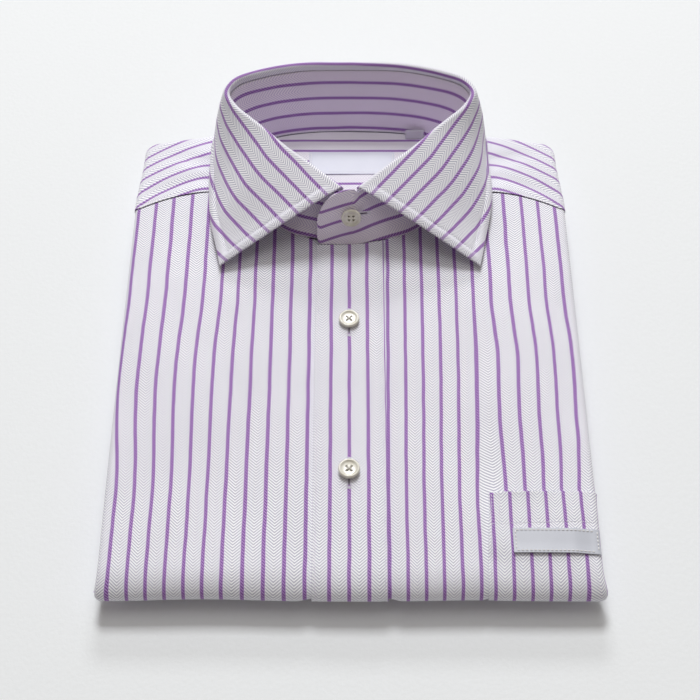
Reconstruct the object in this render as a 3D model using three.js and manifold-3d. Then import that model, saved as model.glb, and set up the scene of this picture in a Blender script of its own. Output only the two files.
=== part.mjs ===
// A long sleeve dress shirt with a spread collar, folded for a drawer, lying face up.
// Millimetres, +Z up. The origin is on the surface it lies on, under the middle of the shirt;
// -Y is the folded front edge, +Y the collar, +X the wearer's left.
import * as THREE from "three";
import Module from "manifold-3d";

const wasm = await Module();
wasm.setup();

// Cloth and seams
const CLOTH = 1.2; // wall of a sewn panel, with its seam allowances
const GAP = 0.3; // clearance at a seam and between layers
const LAYER = CLOTH + GAP;

// The folded packet
const HALF_WIDTH = 126.5; // middle to the side fold
const SIDE_RADIUS = 3.5; // round of the side folds
const TUCK = 12; // cloth turned in behind each fold
const FLAT_HALF = HALF_WIDTH - SIDE_RADIUS;
const FOLD_ARC = Math.PI * SIDE_RADIUS;
const PACKET = 2 * SIDE_RADIUS; // thickness of the top and the bottom packet at their edges
const CORNER_FLARE = 1.4; // how far the corners at the front roll poke out
const CROWN_FROM = 45; // from this distance off the middle the top rounds down to the side folds

// Height of the top surface along the middle: at the front roll, the waist and the chest
const ROLL_RADIUS = 8.5;
const ROLL_Y = -152;
const ROLL_Z = 13;
const WAIST = { y: -15.5, z: 26 };
const CHEST = { y: 80, z: 28 };
const SHOULDER_FROM = 100; // behind this line the shoulders drop
const SHOULDER_DROP = 0.00115; // drop per square millimetre behind that line

// The underside
const LANDING_Y = -124; // where the rising front reaches the surface
const TAIL_Y = 112; // where the fronts end, at the fold that closes the bottom packet
const TAIL_FOLD = 9.5; // how far that fold reaches behind them

// Seams and edges in plan
const YOKE_SEAM = { neck: 98.5, side: 86.5, from: 84, to: 126, power: 1.8 }; // it falls towards the sides
const SHOULDER_EDGE = { middle: 155.5, fall: 14, width: 122, power: 1.3 };
const SHOULDER_CORNER = 9; // plan radius of the shoulder corners
const PLACKET_HALF = 19.2;
const BUTTON_STAND = 14; // how far the wearer's right front runs under the placket
const POCKET = { x: 71, top: -105, rise: 2, length: 126 };

// Where the fronts step down by one layer, beside the placket and beside the pocket
const STEP = 2.5; // width of each step
const PLACKET_STEP = PLACKET_HALF + 0.4;
const POCKET_STEP = POCKET.x - 3.5;

// The collar stands in a frame of its own, at the waist height of the top surface
const COLLAR = { y: -15.5, z: 26 };
const STAND_CLOTH = 1.4;
const FOLD_RADIUS = 2; // round of the collar's top fold
const STAND_DROP = 2.5; // the seam of stand and leaf, below the round
// One row for each collar section from the middle of the back to the front, for one half:
// foot of the stand, crest of the fold, outer edge of the leaf, and how far the leaf bulges
const COLLAR_SECTIONS = [
  { foot: [0, 165.5], crest: [0, 176.6, 46.2], edge: [0, 184.5, -1], bulge: 1.5 },
  { foot: [24, 164.4], crest: [30, 175.6, 46.2], edge: [31, 183.5, -1], bulge: 1.5 },
  { foot: [43, 160.6], crest: [54.8, 170.4, 45.2], edge: [59, 178.5, -1], bulge: 2 },
  { foot: [54.5, 154], crest: [67.4, 164.7, 44], edge: [75, 169.5, 0], bulge: 2 },
  { foot: [62, 144], crest: [71.8, 156, 42.8], edge: [81.4, 156, 1], bulge: 1.6 },
  { foot: [63.5, 131], crest: [67.2, 146.4, 41.2], edge: [82.8, 138, 2.5], bulge: 1.8 },
  { foot: [60.5, 117], crest: [58.4, 136.9, 40.2], edge: [83.6, 118, 4], bulge: 2.6 },
  { foot: [56, 106], crest: [49.5, 128.4, 39.1], edge: [82.3, 101, 4.5], bulge: 3 },
  { foot: [49, 95.5], crest: [40.1, 118.9, 38], edge: [79.8, 84, 4.5], bulge: 2.5 },
  { foot: [34, 83], crest: [23.3, 103.5, 37], edge: [77, 70, 4.5], bulge: 2 },
  { foot: [7, 75.4], crest: [5.3, 86.7, 36], edge: [74, 55.6, 4.5], bulge: 1 },
];
const LEAF_STEPS = 18; // sections of each half of the leaf
const STAND_STEPS = 20;
// The crossed ends of the stand: where each runs to, its foot, its lean per millimetre of height
// and the height of its top edge
const OVER_BAND = { from: 1.5, to: -18.8, footY: 75, lean: 0.28, top: 37, endTop: 14 };
const UNDER_BAND = { to: 14, footY: 77.2, slant: 0.16, lean: 0.28, top: 32.8 };
const UNDER_STEP = 1.8; // how far the lower end of the stand lies behind the upper one
const BAND_STEPS = 7;

// Labels, bare
const NECK_LABEL = { x: 1.1, width: 51, front: 127.5, back: 146 };
const SIZE_TAB = { x: 39.1, width: 11, foot: [157.8, 0.6], top: [160, 6], cloth: 0.8 };
const LINING_INSET = 1.6; // the inner yoke ends this far inside the collar's foot
const POCKET_LABEL = { from: 82, to: 126.5, top: -125.5, length: 15 };

// Buttons, four holes, thick with a raised rim
const BUTTON = { radius: 5.7, thick: 2.8, rim: 1.2, dish: 0.7, hole: 0.75, spread: 1.25 };
const BUTTON_X = -0.5;
const FRONT_BUTTONS_Y = [4.2, -90.9];
const ROLL_BUTTON_OUT = 1.47 * Math.PI; // where the fourth button faces, round the front roll
const COLLAR_BUTTON_Z = 19.5;

// Colours
const LILAC_WHITE = 0xe9e4f1;
const STRIPE_TINT = 0xded6ea;
const LABEL_WHITE = 0xe4e6ee;
const PEARL = 0xe6e1d0;

const clamp01 = (t) => Math.min(1, Math.max(0, t));
const smooth = (t) => clamp01(t) ** 2 * (3 - 2 * clamp01(t));
const mix = (a, b, t) => a + (b - a) * t;
const steps = (n) => Array.from({ length: n + 1 }, (_, i) => i / n);

// Height of the top surface on the middle line: a parabola through roll, waist and chest,
// less the drop at the shoulders
function topHeight(y) {
  const rollTop = { y: ROLL_Y, z: ROLL_Z + ROLL_RADIUS };
  const low = (WAIST.z - rollTop.z) / (WAIST.y - rollTop.y);
  const high = (CHEST.z - WAIST.z) / (CHEST.y - WAIST.y);
  const bend = (high - low) / (CHEST.y - rollTop.y);
  const along = y - rollTop.y;
  const behind = Math.max(0, y - SHOULDER_FROM);
  return rollTop.z + low * along + bend * along * (y - WAIST.y) - SHOULDER_DROP * behind ** 2;
}

// How far the top has rounded down, at a distance off the middle: more at the shoulders
function crownDrop(off, y) {
  const deep = mix(0.6, 3.6, smooth((y - ROLL_Y - 10) / 270));
  return deep * clamp01((off - CROWN_FROM) / (FLAT_HALF - CROWN_FROM)) ** 2;
}

// Height of the underside, which rises towards the front roll
const underHeight = (y) =>
  (ROLL_Z - ROLL_RADIUS) * (1 - smooth((y - ROLL_Y) / (LANDING_Y - ROLL_Y)));

// The line the fronts follow: over the top, round the front roll and along the underside.
// Each stop has its place in the YZ plane and its outward direction.
const ROUTE = { top: [], roll: [], under: [] };
for (const t of steps(60)) {
  const y = mix(SHOULDER_FROM + 4, ROLL_Y, t);
  const slope = (topHeight(y + 0.5) - topHeight(y - 0.5)) * (1 - smooth((t - 0.9) / 0.1));
  ROUTE.top.push({ y, z: topHeight(y), out: Math.atan2(1, -slope) });
}
for (const t of steps(24)) {
  const out = Math.PI * (0.5 + t);
  const y = ROLL_Y + ROLL_RADIUS * Math.cos(out);
  ROUTE.roll.push({ y, z: ROLL_Z + ROLL_RADIUS * Math.sin(out), out });
}
for (const t of steps(60)) {
  const y = mix(ROLL_Y, TAIL_Y, t);
  const slope = underHeight(y + 0.5) - underHeight(y - 0.5);
  ROUTE.under.push({ y, z: underHeight(y), out: Math.atan2(-1, slope) + 2 * Math.PI });
}

function stopAt(part, t) {
  const stops = ROUTE[part];
  const at = clamp01(t) * (stops.length - 1);
  const i = Math.min(stops.length - 2, Math.floor(at));
  const [a, b] = [stops[i], stops[i + 1]];
  const f = at - i;
  return { y: mix(a.y, b.y, f), z: mix(a.z, b.z, f), out: mix(a.out, b.out, f) };
}
const topStop = (y) => stopAt("top", (SHOULDER_FROM + 4 - y) / (SHOULDER_FROM + 4 - ROLL_Y));

// A point of the cloth's outer face: side is -1 or 1, across is measured along the cloth from
// the middle, round the side fold and into its tuck, and lift is the height above that face
function clothPoint(side, across, stop, lift) {
  const flare = CORNER_FLARE * Math.exp(-(((stop.y - ROLL_Y) / 9) ** 2));
  const edge = FLAT_HALF + flare * smooth((across - 90) / 30);
  let x = Math.min(across, FLAT_HALF) * (edge / FLAT_HALF);
  let depth = -lift;
  if (across > FLAT_HALF) {
    const turn = Math.min(Math.PI, (across - FLAT_HALF) / SIDE_RADIUS);
    const tucked = Math.max(0, across - FLAT_HALF - FOLD_ARC);
    x = edge + (SIDE_RADIUS + lift) * Math.sin(turn) - tucked;
    depth = SIDE_RADIUS - (SIDE_RADIUS + lift) * Math.cos(turn);
  }
  const topShare = 1 - smooth(stop.out / Math.PI - 0.5);
  depth += crownDrop(Math.min(across, FLAT_HALF), stop.y) * topShare;
  const [c, s] = [Math.cos(stop.out), Math.sin(stop.out)];
  return new THREE.Vector3(side * x, stop.y - depth * c, stop.z - depth * s);
}

// Closed solids from grids of points
function geometryOf(points, quads, triangles = []) {
  const index = [...triangles];
  for (const [a, b, c, d] of quads) index.push(a, b, c, a, c, d);
  const geometry = new THREE.BufferGeometry().setFromPoints(points);
  geometry.setIndex(index);
  return geometry;
}

// A wall: the grid is one face, and the other lies one thickness off it. A negative thickness
// puts it on the other side
function wall(grid, thickness) {
  const rows = grid.length;
  const columns = grid[0].length;
  const at = (r, c) => grid[Math.min(rows - 1, Math.max(0, r))][Math.min(columns - 1, Math.max(0, c))];
  const points = grid.flat();
  for (let r = 0; r < rows; r++) {
    for (let c = 0; c < columns; c++) {
      const down = at(r + 1, c).clone().sub(at(r - 1, c));
      const right = at(r, c + 1).clone().sub(at(r, c - 1));
      points.push(at(r, c).clone().addScaledVector(down.cross(right).normalize(), -thickness));
    }
  }
  const inner = rows * columns;
  const quads = [];
  for (let r = 0; r + 1 < rows; r++) {
    for (let c = 0; c + 1 < columns; c++) {
      const a = r * columns + c;
      quads.push([a, a + columns, a + columns + 1, a + 1]);
      quads.push([inner + a, inner + a + 1, inner + a + columns + 1, inner + a + columns]);
    }
  }
  const rim = [];
  for (let c = 0; c + 1 < columns; c++) rim.push([c, c + 1]);
  for (let r = 0; r + 1 < rows; r++) rim.push([(r + 1) * columns - 1, (r + 2) * columns - 1]);
  for (let c = columns - 1; c > 0; c--) rim.push([(rows - 1) * columns + c, (rows - 1) * columns + c - 1]);
  for (let r = rows - 1; r > 0; r--) rim.push([r * columns, (r - 1) * columns]);
  for (const [a, b] of rim) quads.push([a, b, inner + b, inner + a]);
  return geometryOf(points, quads);
}

// A solid through rings of points, closed by a fan at each end
function loft(rings) {
  const n = rings[0].length;
  const points = rings.flat();
  const quads = [];
  for (let k = 0; k + 1 < rings.length; k++) {
    for (let i = 0; i < n; i++) {
      const j = (i + 1) % n;
      quads.push([k * n + i, k * n + j, (k + 1) * n + j, (k + 1) * n + i]);
    }
  }
  const triangles = [];
  for (const [ring, k] of [[rings[0], 0], [rings.at(-1), rings.length - 1]]) {
    const middle = ring.reduce((sum, p) => sum.add(p), new THREE.Vector3()).divideScalar(n);
    const centre = points.push(middle) - 1;
    for (let i = 0; i < n; i++) {
      const pair = [k * n + i, k * n + ((i + 1) % n)];
      triangles.push(centre, ...(k ? pair : pair.reverse()));
    }
  }
  return geometryOf(points, quads, triangles);
}

// manifold-3d solids, for joins and cuts
function solidOf(geometry) {
  const position = geometry.getAttribute("position");
  const mesh = new wasm.Mesh({
    numProp: 3,
    vertProperties: new Float32Array(position.array),
    triVerts: new Uint32Array(geometry.index.array),
  });
  const solid = new wasm.Manifold(mesh);
  if (solid.volume() >= 0) return solid;
  const turned = mesh.triVerts.slice();
  for (let i = 0; i < turned.length; i += 3) [turned[i], turned[i + 1]] = [turned[i + 1], turned[i]];
  return new wasm.Manifold(new wasm.Mesh({ numProp: 3, vertProperties: mesh.vertProperties, triVerts: turned }));
}

function geometryFrom(solid) {
  const mesh = solid.getMesh();
  const geometry = new THREE.BufferGeometry();
  geometry.setAttribute("position", new THREE.BufferAttribute(mesh.vertProperties, 3));
  geometry.setIndex(new THREE.BufferAttribute(mesh.triVerts, 1));
  return geometry;
}

// The same solid with its faces turned out, whichever way its grid ran
const outward = (geometry) => geometryFrom(solidOf(geometry));

// A curve through one point of each collar section, from the middle of the back to the front
function sectionCurve(name) {
  const half = COLLAR_SECTIONS.map((row) => new THREE.Vector3(row[name][0], row[name][1], row[name][2] ?? 0));
  return new THREE.CatmullRomCurve3(half, false, "centripetal");
}
const FOOT = sectionCurve("foot");
const CREST = sectionCurve("crest");
const EDGE = sectionCurve("edge");

function bulgeAt(t) {
  const at = t * (COLLAR_SECTIONS.length - 1);
  const i = Math.min(COLLAR_SECTIONS.length - 2, Math.floor(at));
  return mix(COLLAR_SECTIONS[i].bulge, COLLAR_SECTIONS[i + 1].bulge, at - i);
}

// How far back the neck seam lies at x, on the front or the back half of the neck
const FOOT_WIDEST = 63.6; // the neck's greatest half width
const NECK_EDGE = 60; // beyond this the fronts end at the yoke seam
const footRun = (from, to) => steps(60).map((t) => FOOT.getPoint(mix(from, to, t)));
const NECK_FRONT = footRun(1, 0.5);
const NECK_BACK = footRun(0, 0.5);
function neckY(x, run) {
  const off = Math.abs(x);
  const k = run.findIndex((p) => p.x >= off);
  if (k <= 0) return (k < 0 ? run.at(-1) : run[0]).y + COLLAR.y;
  const [a, b] = [run[k - 1], run[k]];
  return mix(a.y, b.y, (off - a.x) / (b.x - a.x)) + COLLAR.y;
}

function seamY(x) {
  const { neck, side, from, to, power } = YOKE_SEAM;
  return mix(neck, side, clamp01((Math.abs(x) - from) / (to - from)) ** power);
}
const frontTopY = (x) => (Math.abs(x) < NECK_EDGE ? Math.min(neckY(x, NECK_FRONT), seamY(x)) : seamY(x)) - GAP;

// The stops of a front panel at one distance across: from its top edge down and round
const TOP_STATIONS = [40, -15, -65, -103, -130, -143, ROLL_Y];
const ROLL_STEPS = 8;
const UNDER_STATIONS = [0.05, 0.1, 0.2, 0.6, 1];
function frontStops(across, from) {
  const stops = [];
  const startY = from ?? frontTopY(Math.min(across, FLAT_HALF));
  for (const t of steps(4).slice(0, -1)) stops.push(topStop(mix(startY, TOP_STATIONS[0], t)));
  for (const y of TOP_STATIONS) stops.push(topStop(y));
  for (const t of steps(ROLL_STEPS).slice(1)) stops.push(stopAt("roll", t));
  for (const t of UNDER_STATIONS) stops.push(stopAt("under", t));
  return stops;
}

// The fronts sink by one layer under the placket, and under the pocket on the underside
function pocketSink(stop) {
  const pastEnd = stop.out > Math.PI ? (stop.y - POCKET_END - 4) / 10 : 0;
  return smooth((stop.out / Math.PI - 1) / 0.35) * (1 - smooth(pastEnd));
}
function sunk(across, side, stop) {
  const underPlacket = LAYER * (1 - smooth((across - PLACKET_STEP) / STEP));
  const beside = side > 0 ? smooth((across - POCKET_STEP) / STEP) : 0;
  return Math.max(underPlacket, LAYER * beside * pocketSink(stop));
}
const POCKET_END = ROLL_Y + (POCKET.length - (POCKET.top - ROLL_Y) - Math.PI * ROLL_RADIUS);

// Distances across a panel: flat, then round the side fold, then the tuck
const FOLD_STEPS = 5;
function acrossList(from, flats) {
  const list = flats.filter((a) => a > from);
  for (const t of steps(FOLD_STEPS).slice(1)) list.push(FLAT_HALF + FOLD_ARC * t);
  list.push(FLAT_HALF + FOLD_ARC + TUCK);
  return [from, ...list];
}
const SEAM_STATIONS = [78, 90, 101, 112];
const FLAT_STATIONS = [
  PLACKET_STEP, PLACKET_STEP + STEP, 34, 46, 54, NECK_EDGE - 0.2, NECK_EDGE + 0.2, ...SEAM_STATIONS, FLAT_HALF,
];

function front(side) {
  const first = side < 0 ? [-BUTTON_STAND, 0] : [BUTTON_STAND + GAP];
  const besidePocket = side < 0 ? [] : [POCKET_STEP, POCKET_STEP + STEP];
  const list = acrossList(17, [...FLAT_STATIONS, ...besidePocket].sort((a, b) => a - b));
  const grid = [...first, ...list].map((across) =>
    frontStops(Math.abs(across)).map((stop) =>
      clothPoint(side, across, stop, -sunk(Math.abs(across), side, stop)),
    ),
  );
  return outward(wall(grid, side < 0 ? CLOTH : -CLOTH));
}

function placket() {
  const bandFront = OVER_BAND.footY + COLLAR.y;
  const stops = frontStops(0, bandFront - STAND_CLOTH - 2 * GAP);
  const grid = [-PLACKET_HALF, 0, PLACKET_HALF].map((x) => stops.map((stop) => clothPoint(1, x, stop, 0)));
  return outward(wall(grid, -CLOTH));
}

const pocketTop = (across) => POCKET.top + POCKET.rise * clamp01((across - POCKET.x) / 55);
function pocketStops(across) {
  const stops = [];
  for (const y of [pocketTop(across), ...TOP_STATIONS.slice(4)]) stops.push(topStop(y));
  for (const t of steps(ROLL_STEPS).slice(1)) stops.push(stopAt("roll", t));
  const end = (POCKET_END - ROLL_Y) / (TAIL_Y - ROLL_Y);
  for (const t of [0.25, 0.5, 0.75, 1]) stops.push(stopAt("under", end * t));
  return stops;
}
const pocketLift = (stop) => (LAYER + GAP) * (1 - pocketSink(stop));

function pocket() {
  const list = acrossList(POCKET.x, [88, 106, FLAT_HALF]).slice(0, -2);
  const grid = list.map((across) =>
    pocketStops(across).map((stop) => clothPoint(1, across, stop, pocketLift(stop))),
  );
  return outward(wall(grid, -CLOTH));
}

function pocketLabel() {
  const { from, to, top, length } = POCKET_LABEL;
  const grid = [from, mix(from, to, 0.5), FLAT_HALF, mix(FLAT_HALF, to, 0.5), to].map((across) =>
    steps(3).map((t) => clothPoint(1, across, topStop(top - length * t), 2 * LAYER + 1.5 * GAP)),
  );
  return outward(wall(grid, -CLOTH));
}

const shoulderY = (x) =>
  SHOULDER_EDGE.middle - SHOULDER_EDGE.fall * (Math.abs(x) / SHOULDER_EDGE.width) ** SHOULDER_EDGE.power;

// The yoke: lines from the seam or the neck out to the shoulder edge and round it
function shoulderOutline() {
  const half = [];
  const r = SHOULDER_CORNER;
  const corner = { x: HALF_WIDTH - r, y: shoulderY(HALF_WIDTH - r) - r };
  for (const t of steps(3).slice(0, -1)) {
    half.push({ x: HALF_WIDTH, y: mix(seamY(FLAT_HALF) + 3 * GAP, corner.y, t), out: 0 });
  }
  for (const t of steps(5)) {
    const out = (Math.PI / 2) * t;
    half.push({ x: corner.x + r * Math.cos(out), y: corner.y + r * Math.sin(out), out });
  }
  for (const t of steps(6).slice(1)) {
    const x = mix(corner.x, 0, t);
    half.push({ x, y: shoulderY(x), out: Math.PI / 2 });
  }
  return half;
}

function yokeInnerPoint(k, count) {
  const seamRows = SEAM_STATIONS.length;
  if (k <= seamRows) {
    const x = SEAM_STATIONS[seamRows - 1 - k] ?? FOOT_WIDEST;
    return { x, y: seamY(x) + GAP };
  }
  const neck = FOOT.getPoint(0.5 * (1 - (k - seamRows) / (count - 1 - seamRows)));
  return { x: neck.x, y: neck.y + COLLAR.y };
}

// One line of the yoke: flat from its inner point to the rim, round the fold and tucked under
function yokeLine(side, outline, inner) {
  const [dx, dy] = [Math.cos(outline.out), Math.sin(outline.out)];
  const rim = { x: outline.x - dx * SIDE_RADIUS, y: outline.y - dy * SIDE_RADIUS };
  const crest = topHeight(rim.y) - crownDrop(rim.x, rim.y);
  const points = steps(4).slice(0, -1).map((t) => {
    const [x, y] = [mix(Math.min(inner.x, rim.x), rim.x, t), mix(inner.y, rim.y, t)];
    return new THREE.Vector3(side * x, y, topHeight(y) - crownDrop(x, y));
  });
  for (const t of steps(FOLD_STEPS)) {
    const [reach, drop] = [SIDE_RADIUS * Math.sin(Math.PI * t), SIDE_RADIUS * (1 - Math.cos(Math.PI * t))];
    points.push(new THREE.Vector3(side * (rim.x + dx * reach), rim.y + dy * reach, crest - drop));
  }
  const tuck = SHOULDER_CORNER * 0.35;
  points.push(new THREE.Vector3(side * (rim.x - dx * tuck), rim.y - dy * tuck, crest - PACKET));
  return points;
}

function yoke() {
  const half = shoulderOutline();
  const line = (side) => (outline, k) => yokeLine(side, outline, yokeInnerPoint(k, half.length));
  const rows = [...half.map(line(1)), ...half.map(line(-1)).slice(0, -1).reverse()];
  return outward(wall(rows, -CLOTH));
}

// The inner yoke: a plate that fills the neck, just inside the collar's foot
function yokeLining() {
  const widest = FOOT_WIDEST - 2.6;
  const grid = steps(12).map((t) => {
    const x = widest * Math.sin(Math.PI * (t - 0.5));
    const [near, far] = [neckY(x, NECK_FRONT) + LINING_INSET, neckY(x, NECK_BACK) - LINING_INSET];
    return steps(5).map((u) => {
      const y = mix(near, far, u);
      return new THREE.Vector3(x, y, topHeight(y) - crownDrop(Math.abs(x), y));
    });
  });
  return outward(wall(grid, CLOTH));
}

// The collar, in its own frame: its middle back is at +Y
function leafDirection(t) {
  const [crest, edge] = [CREST.getPoint(t), EDGE.getPoint(t)];
  return new THREE.Vector3(edge.x - crest.x, edge.y - crest.y, 0).normalize();
}

function leafSection(t) {
  const [crest, edge] = [CREST.getPoint(t), EDGE.getPoint(t)];
  const out = leafDirection(t);
  const up = new THREE.Vector3(0, 0, 1);
  const centre = crest.clone().addScaledVector(up, -FOLD_RADIUS);
  const fall = edge.clone().sub(centre);
  const slope = Math.atan2(Math.hypot(fall.x, fall.y), -fall.z);
  const points = [centre.clone().addScaledVector(out, -FOLD_RADIUS).addScaledVector(up, GAP - STAND_DROP)];
  for (const s of steps(5)) {
    const turn = mix(Math.PI, slope + 0.12, s);
    const around = out.clone().multiplyScalar(Math.cos(turn)).addScaledVector(up, Math.sin(turn));
    points.push(centre.clone().addScaledVector(around, FOLD_RADIUS));
  }
  const start = points.at(-1).clone();
  const normal = out.clone().multiplyScalar(Math.cos(slope)).addScaledVector(up, Math.sin(slope));
  for (const s of steps(5).slice(1)) {
    const lift = bulgeAt(t) * 4 * s * (1 - s) * (1 - 0.35 * s);
    points.push(start.clone().lerp(edge, s).addScaledVector(normal, lift));
  }
  return points;
}

function mirrored(points) {
  return points.map((p) => new THREE.Vector3(-p.x, p.y, p.z));
}

function collarLeaf() {
  const half = steps(LEAF_STEPS).map((t) => leafSection(t));
  const rows = [...half.slice(1).reverse().map(mirrored), ...half];
  return outward(wall(rows, CLOTH));
}

// Foot and top of the stand's inner face at one section
function standLine(t) {
  const foot = FOOT.getPoint(t);
  const y = foot.y + COLLAR.y;
  foot.z = topHeight(y) - crownDrop(foot.x, y) - COLLAR.z + 1.5 * GAP;
  const top = leafSection(t)[0];
  const lean = Math.hypot(top.x - foot.x, top.y - foot.y) / (top.z - foot.z);
  top.lerp(foot, (GAP + lean * STAND_CLOTH) / top.distanceTo(foot));
  return [foot, top];
}

const surfaceAt = (x, y) => topHeight(y + COLLAR.y) - crownDrop(Math.abs(x), y + COLLAR.y) - COLLAR.z;

function bandLine(x, footY, lean, top) {
  const footZ = surfaceAt(x, footY) + GAP;
  return [new THREE.Vector3(x, footY, footZ), new THREE.Vector3(x, footY + lean * (top - footZ), top)];
}

function collarStand() {
  const lines = [];
  for (const t of steps(BAND_STEPS).slice(0, -1)) {
    const x = mix(UNDER_BAND.to, 0, t);
    const end = 4 * clamp01((x - 6) / 8) ** 2;
    const footY = UNDER_BAND.footY + UNDER_BAND.slant * x;
    lines.push(bandLine(x, footY, UNDER_BAND.lean, UNDER_BAND.top - end));
  }
  const half = steps(STAND_STEPS).map((t) => standLine(t));
  const lowerHalf = steps(STAND_STEPS).slice(1).map((t) => {
    const behind = UNDER_STEP * smooth((t - 0.9) / 0.1);
    const [foot, top] = mirrored(standLine(t));
    return [foot.setY(foot.y + behind), top];
  });
  lines.push(...lowerHalf.reverse(), ...half);
  for (const t of steps(BAND_STEPS)) {
    const x = mix(OVER_BAND.from, OVER_BAND.to, t);
    const round = Math.sqrt(1 - t ** 2);
    lines.push(bandLine(x, OVER_BAND.footY, OVER_BAND.lean, mix(OVER_BAND.endTop, OVER_BAND.top, round)));
  }
  const grid = lines.map(([foot, top]) => steps(3).map((s) => foot.clone().lerp(top, s)));
  return outward(wall(grid, STAND_CLOTH));
}

// Labels
function neckLabel() {
  const { x, width, front: near, back } = NECK_LABEL;
  const grid = steps(3).map((t) =>
    steps(2).map((s) => {
      const [px, py] = [x + width * (t - 0.5), mix(near, back, s)];
      return new THREE.Vector3(px, py, surfaceAt(px, py) + LAYER);
    }),
  );
  return outward(wall(grid, CLOTH));
}

function sizeTab() {
  const { x, width, foot, top, cloth } = SIZE_TAB;
  const grid = [-0.5, 0.5].map((t) =>
    [foot, top].map(([y, z]) => new THREE.Vector3(x + width * t, y, surfaceAt(x, foot[0]) + z)),
  );
  return outward(wall(grid, cloth));
}

// A button: a dished disc with a raised rim and four holes, its back on z = 0
function button() {
  const { radius, thick, rim, dish, hole, spread } = BUTTON;
  const profile = [
    [0, 0], [radius - 1.1, 0], [radius, 1], [radius, thick - 0.6], [radius - 0.6, thick],
    [radius - rim, thick - 0.2], [radius - rim - 0.8, thick - dish], [0, thick - dish],
  ].map(([r, z]) => new THREE.Vector2(r, z));
  const lathed = new THREE.LatheGeometry(profile, 28).rotateX(Math.PI / 2);
  let solid = solidOf(weld(lathed));
  for (const k of [0, 1, 2, 3]) {
    const angle = (Math.PI / 2) * (k + 0.5);
    const drill = new THREE.CylinderGeometry(hole, hole, 2 * thick, 8).rotateX(Math.PI / 2);
    drill.translate(spread * Math.SQRT2 * Math.cos(angle), spread * Math.SQRT2 * Math.sin(angle), thick / 2);
    solid = solid.subtract(solidOf(weld(drill)));
  }
  return geometryFrom(solid);
}

// Shared vertices merged, for a geometry that came with seams
function weld(geometry) {
  const source = geometry.toNonIndexed().getAttribute("position");
  const seen = new Map();
  const points = [];
  const index = [];
  for (let i = 0; i < source.count; i++) {
    const p = new THREE.Vector3().fromBufferAttribute(source, i);
    const key = [p.x, p.y, p.z].map((v) => Math.round(v * 1e4) + 0).join();
    if (!seen.has(key)) seen.set(key, points.push(p) - 1);
    index.push(seen.get(key));
  }
  const kept = [];
  for (let i = 0; i < index.length; i += 3) {
    const [a, b, c] = index.slice(i, i + 3);
    if (a !== b && b !== c && a !== c) kept.push(a, b, c);
  }
  return geometryOf(points, [], kept);
}

// The hidden layers: a flat tube that follows the fronts inside them, with two sleeve layers
// between the packets, all one solid
function roundedRing(y, halfWidth, low, high, edge) {
  const r = Math.min(edge, 0.42 * (high - low));
  const ring = [];
  for (const [cx, cz, from] of [
    [halfWidth - r, high - r, 0], [-halfWidth + r, high - r, 1],
    [-halfWidth + r, low + r, 2], [halfWidth - r, low + r, 3],
  ]) {
    for (const t of steps(2)) {
      const a = (Math.PI / 2) * (from + t);
      ring.push(new THREE.Vector3(cx + r * Math.cos(a), y, cz + r * Math.sin(a)));
    }
  }
  return ring;
}

function slab({ halfWidth, from, to, low, high, round }) {
  const ends = [0, 0.3, 0.7, 1];
  const stations = [
    ...ends.map((e) => [from + round * e, e]),
    ...[0.25, 0.5, 0.75].map((t) => [mix(from + round, to - round, t), 1]),
    ...ends.map((e) => [to - round * e, e]).reverse(),
  ];
  return loft(
    stations.map(([y, e]) => {
      const full = Math.sqrt(1 - (1 - e) ** 2);
      const [l, h] = [low(y), high(y)];
      const keep = mix(0.25, 1, full) / 2;
      const mid = (l + h) / 2;
      const inset = round * (1 - full);
      return roundedRing(y, halfWidth - inset, mid - (h - l) * keep, mid + (h - l) * keep, 2.4);
    }),
  );
}

// Half the width that the yoke leaves the hidden layers, towards the shoulder edge
function widthAt(y) {
  const inset = SIDE_RADIUS + GAP;
  const share = Math.max(0, (SHOULDER_EDGE.middle - inset - y) / SHOULDER_EDGE.fall);
  const edge = SHOULDER_EDGE.width * share ** (1 / SHOULDER_EDGE.power);
  const r = SHOULDER_CORNER;
  const past = Math.max(0, y + inset - (shoulderY(HALF_WIDTH - r) - r));
  const corner = HALF_WIDTH - r + Math.sqrt(Math.max(0, r ** 2 - past ** 2));
  return Math.min(FLAT_HALF, edge - inset, corner - inset);
}

// The stops of the core, each with how full its section is there
function coreStops() {
  const level = (y) => ({ y, z: topHeight(y), out: Math.PI / 2 });
  return [
    [level(149), 0.6],
    [level(147.5), 0.9],
    ...[145, 142, 139, 136, 133, 129, 112, 80, ...TOP_STATIONS.slice(0, -1)].map((y) => [level(y), 1]),
    ...steps(ROLL_STEPS).map((t) => [stopAt("roll", t), 1]),
    ...UNDER_STATIONS.map((t) => [stopAt("under", t), 1]),
  ];
}

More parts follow.
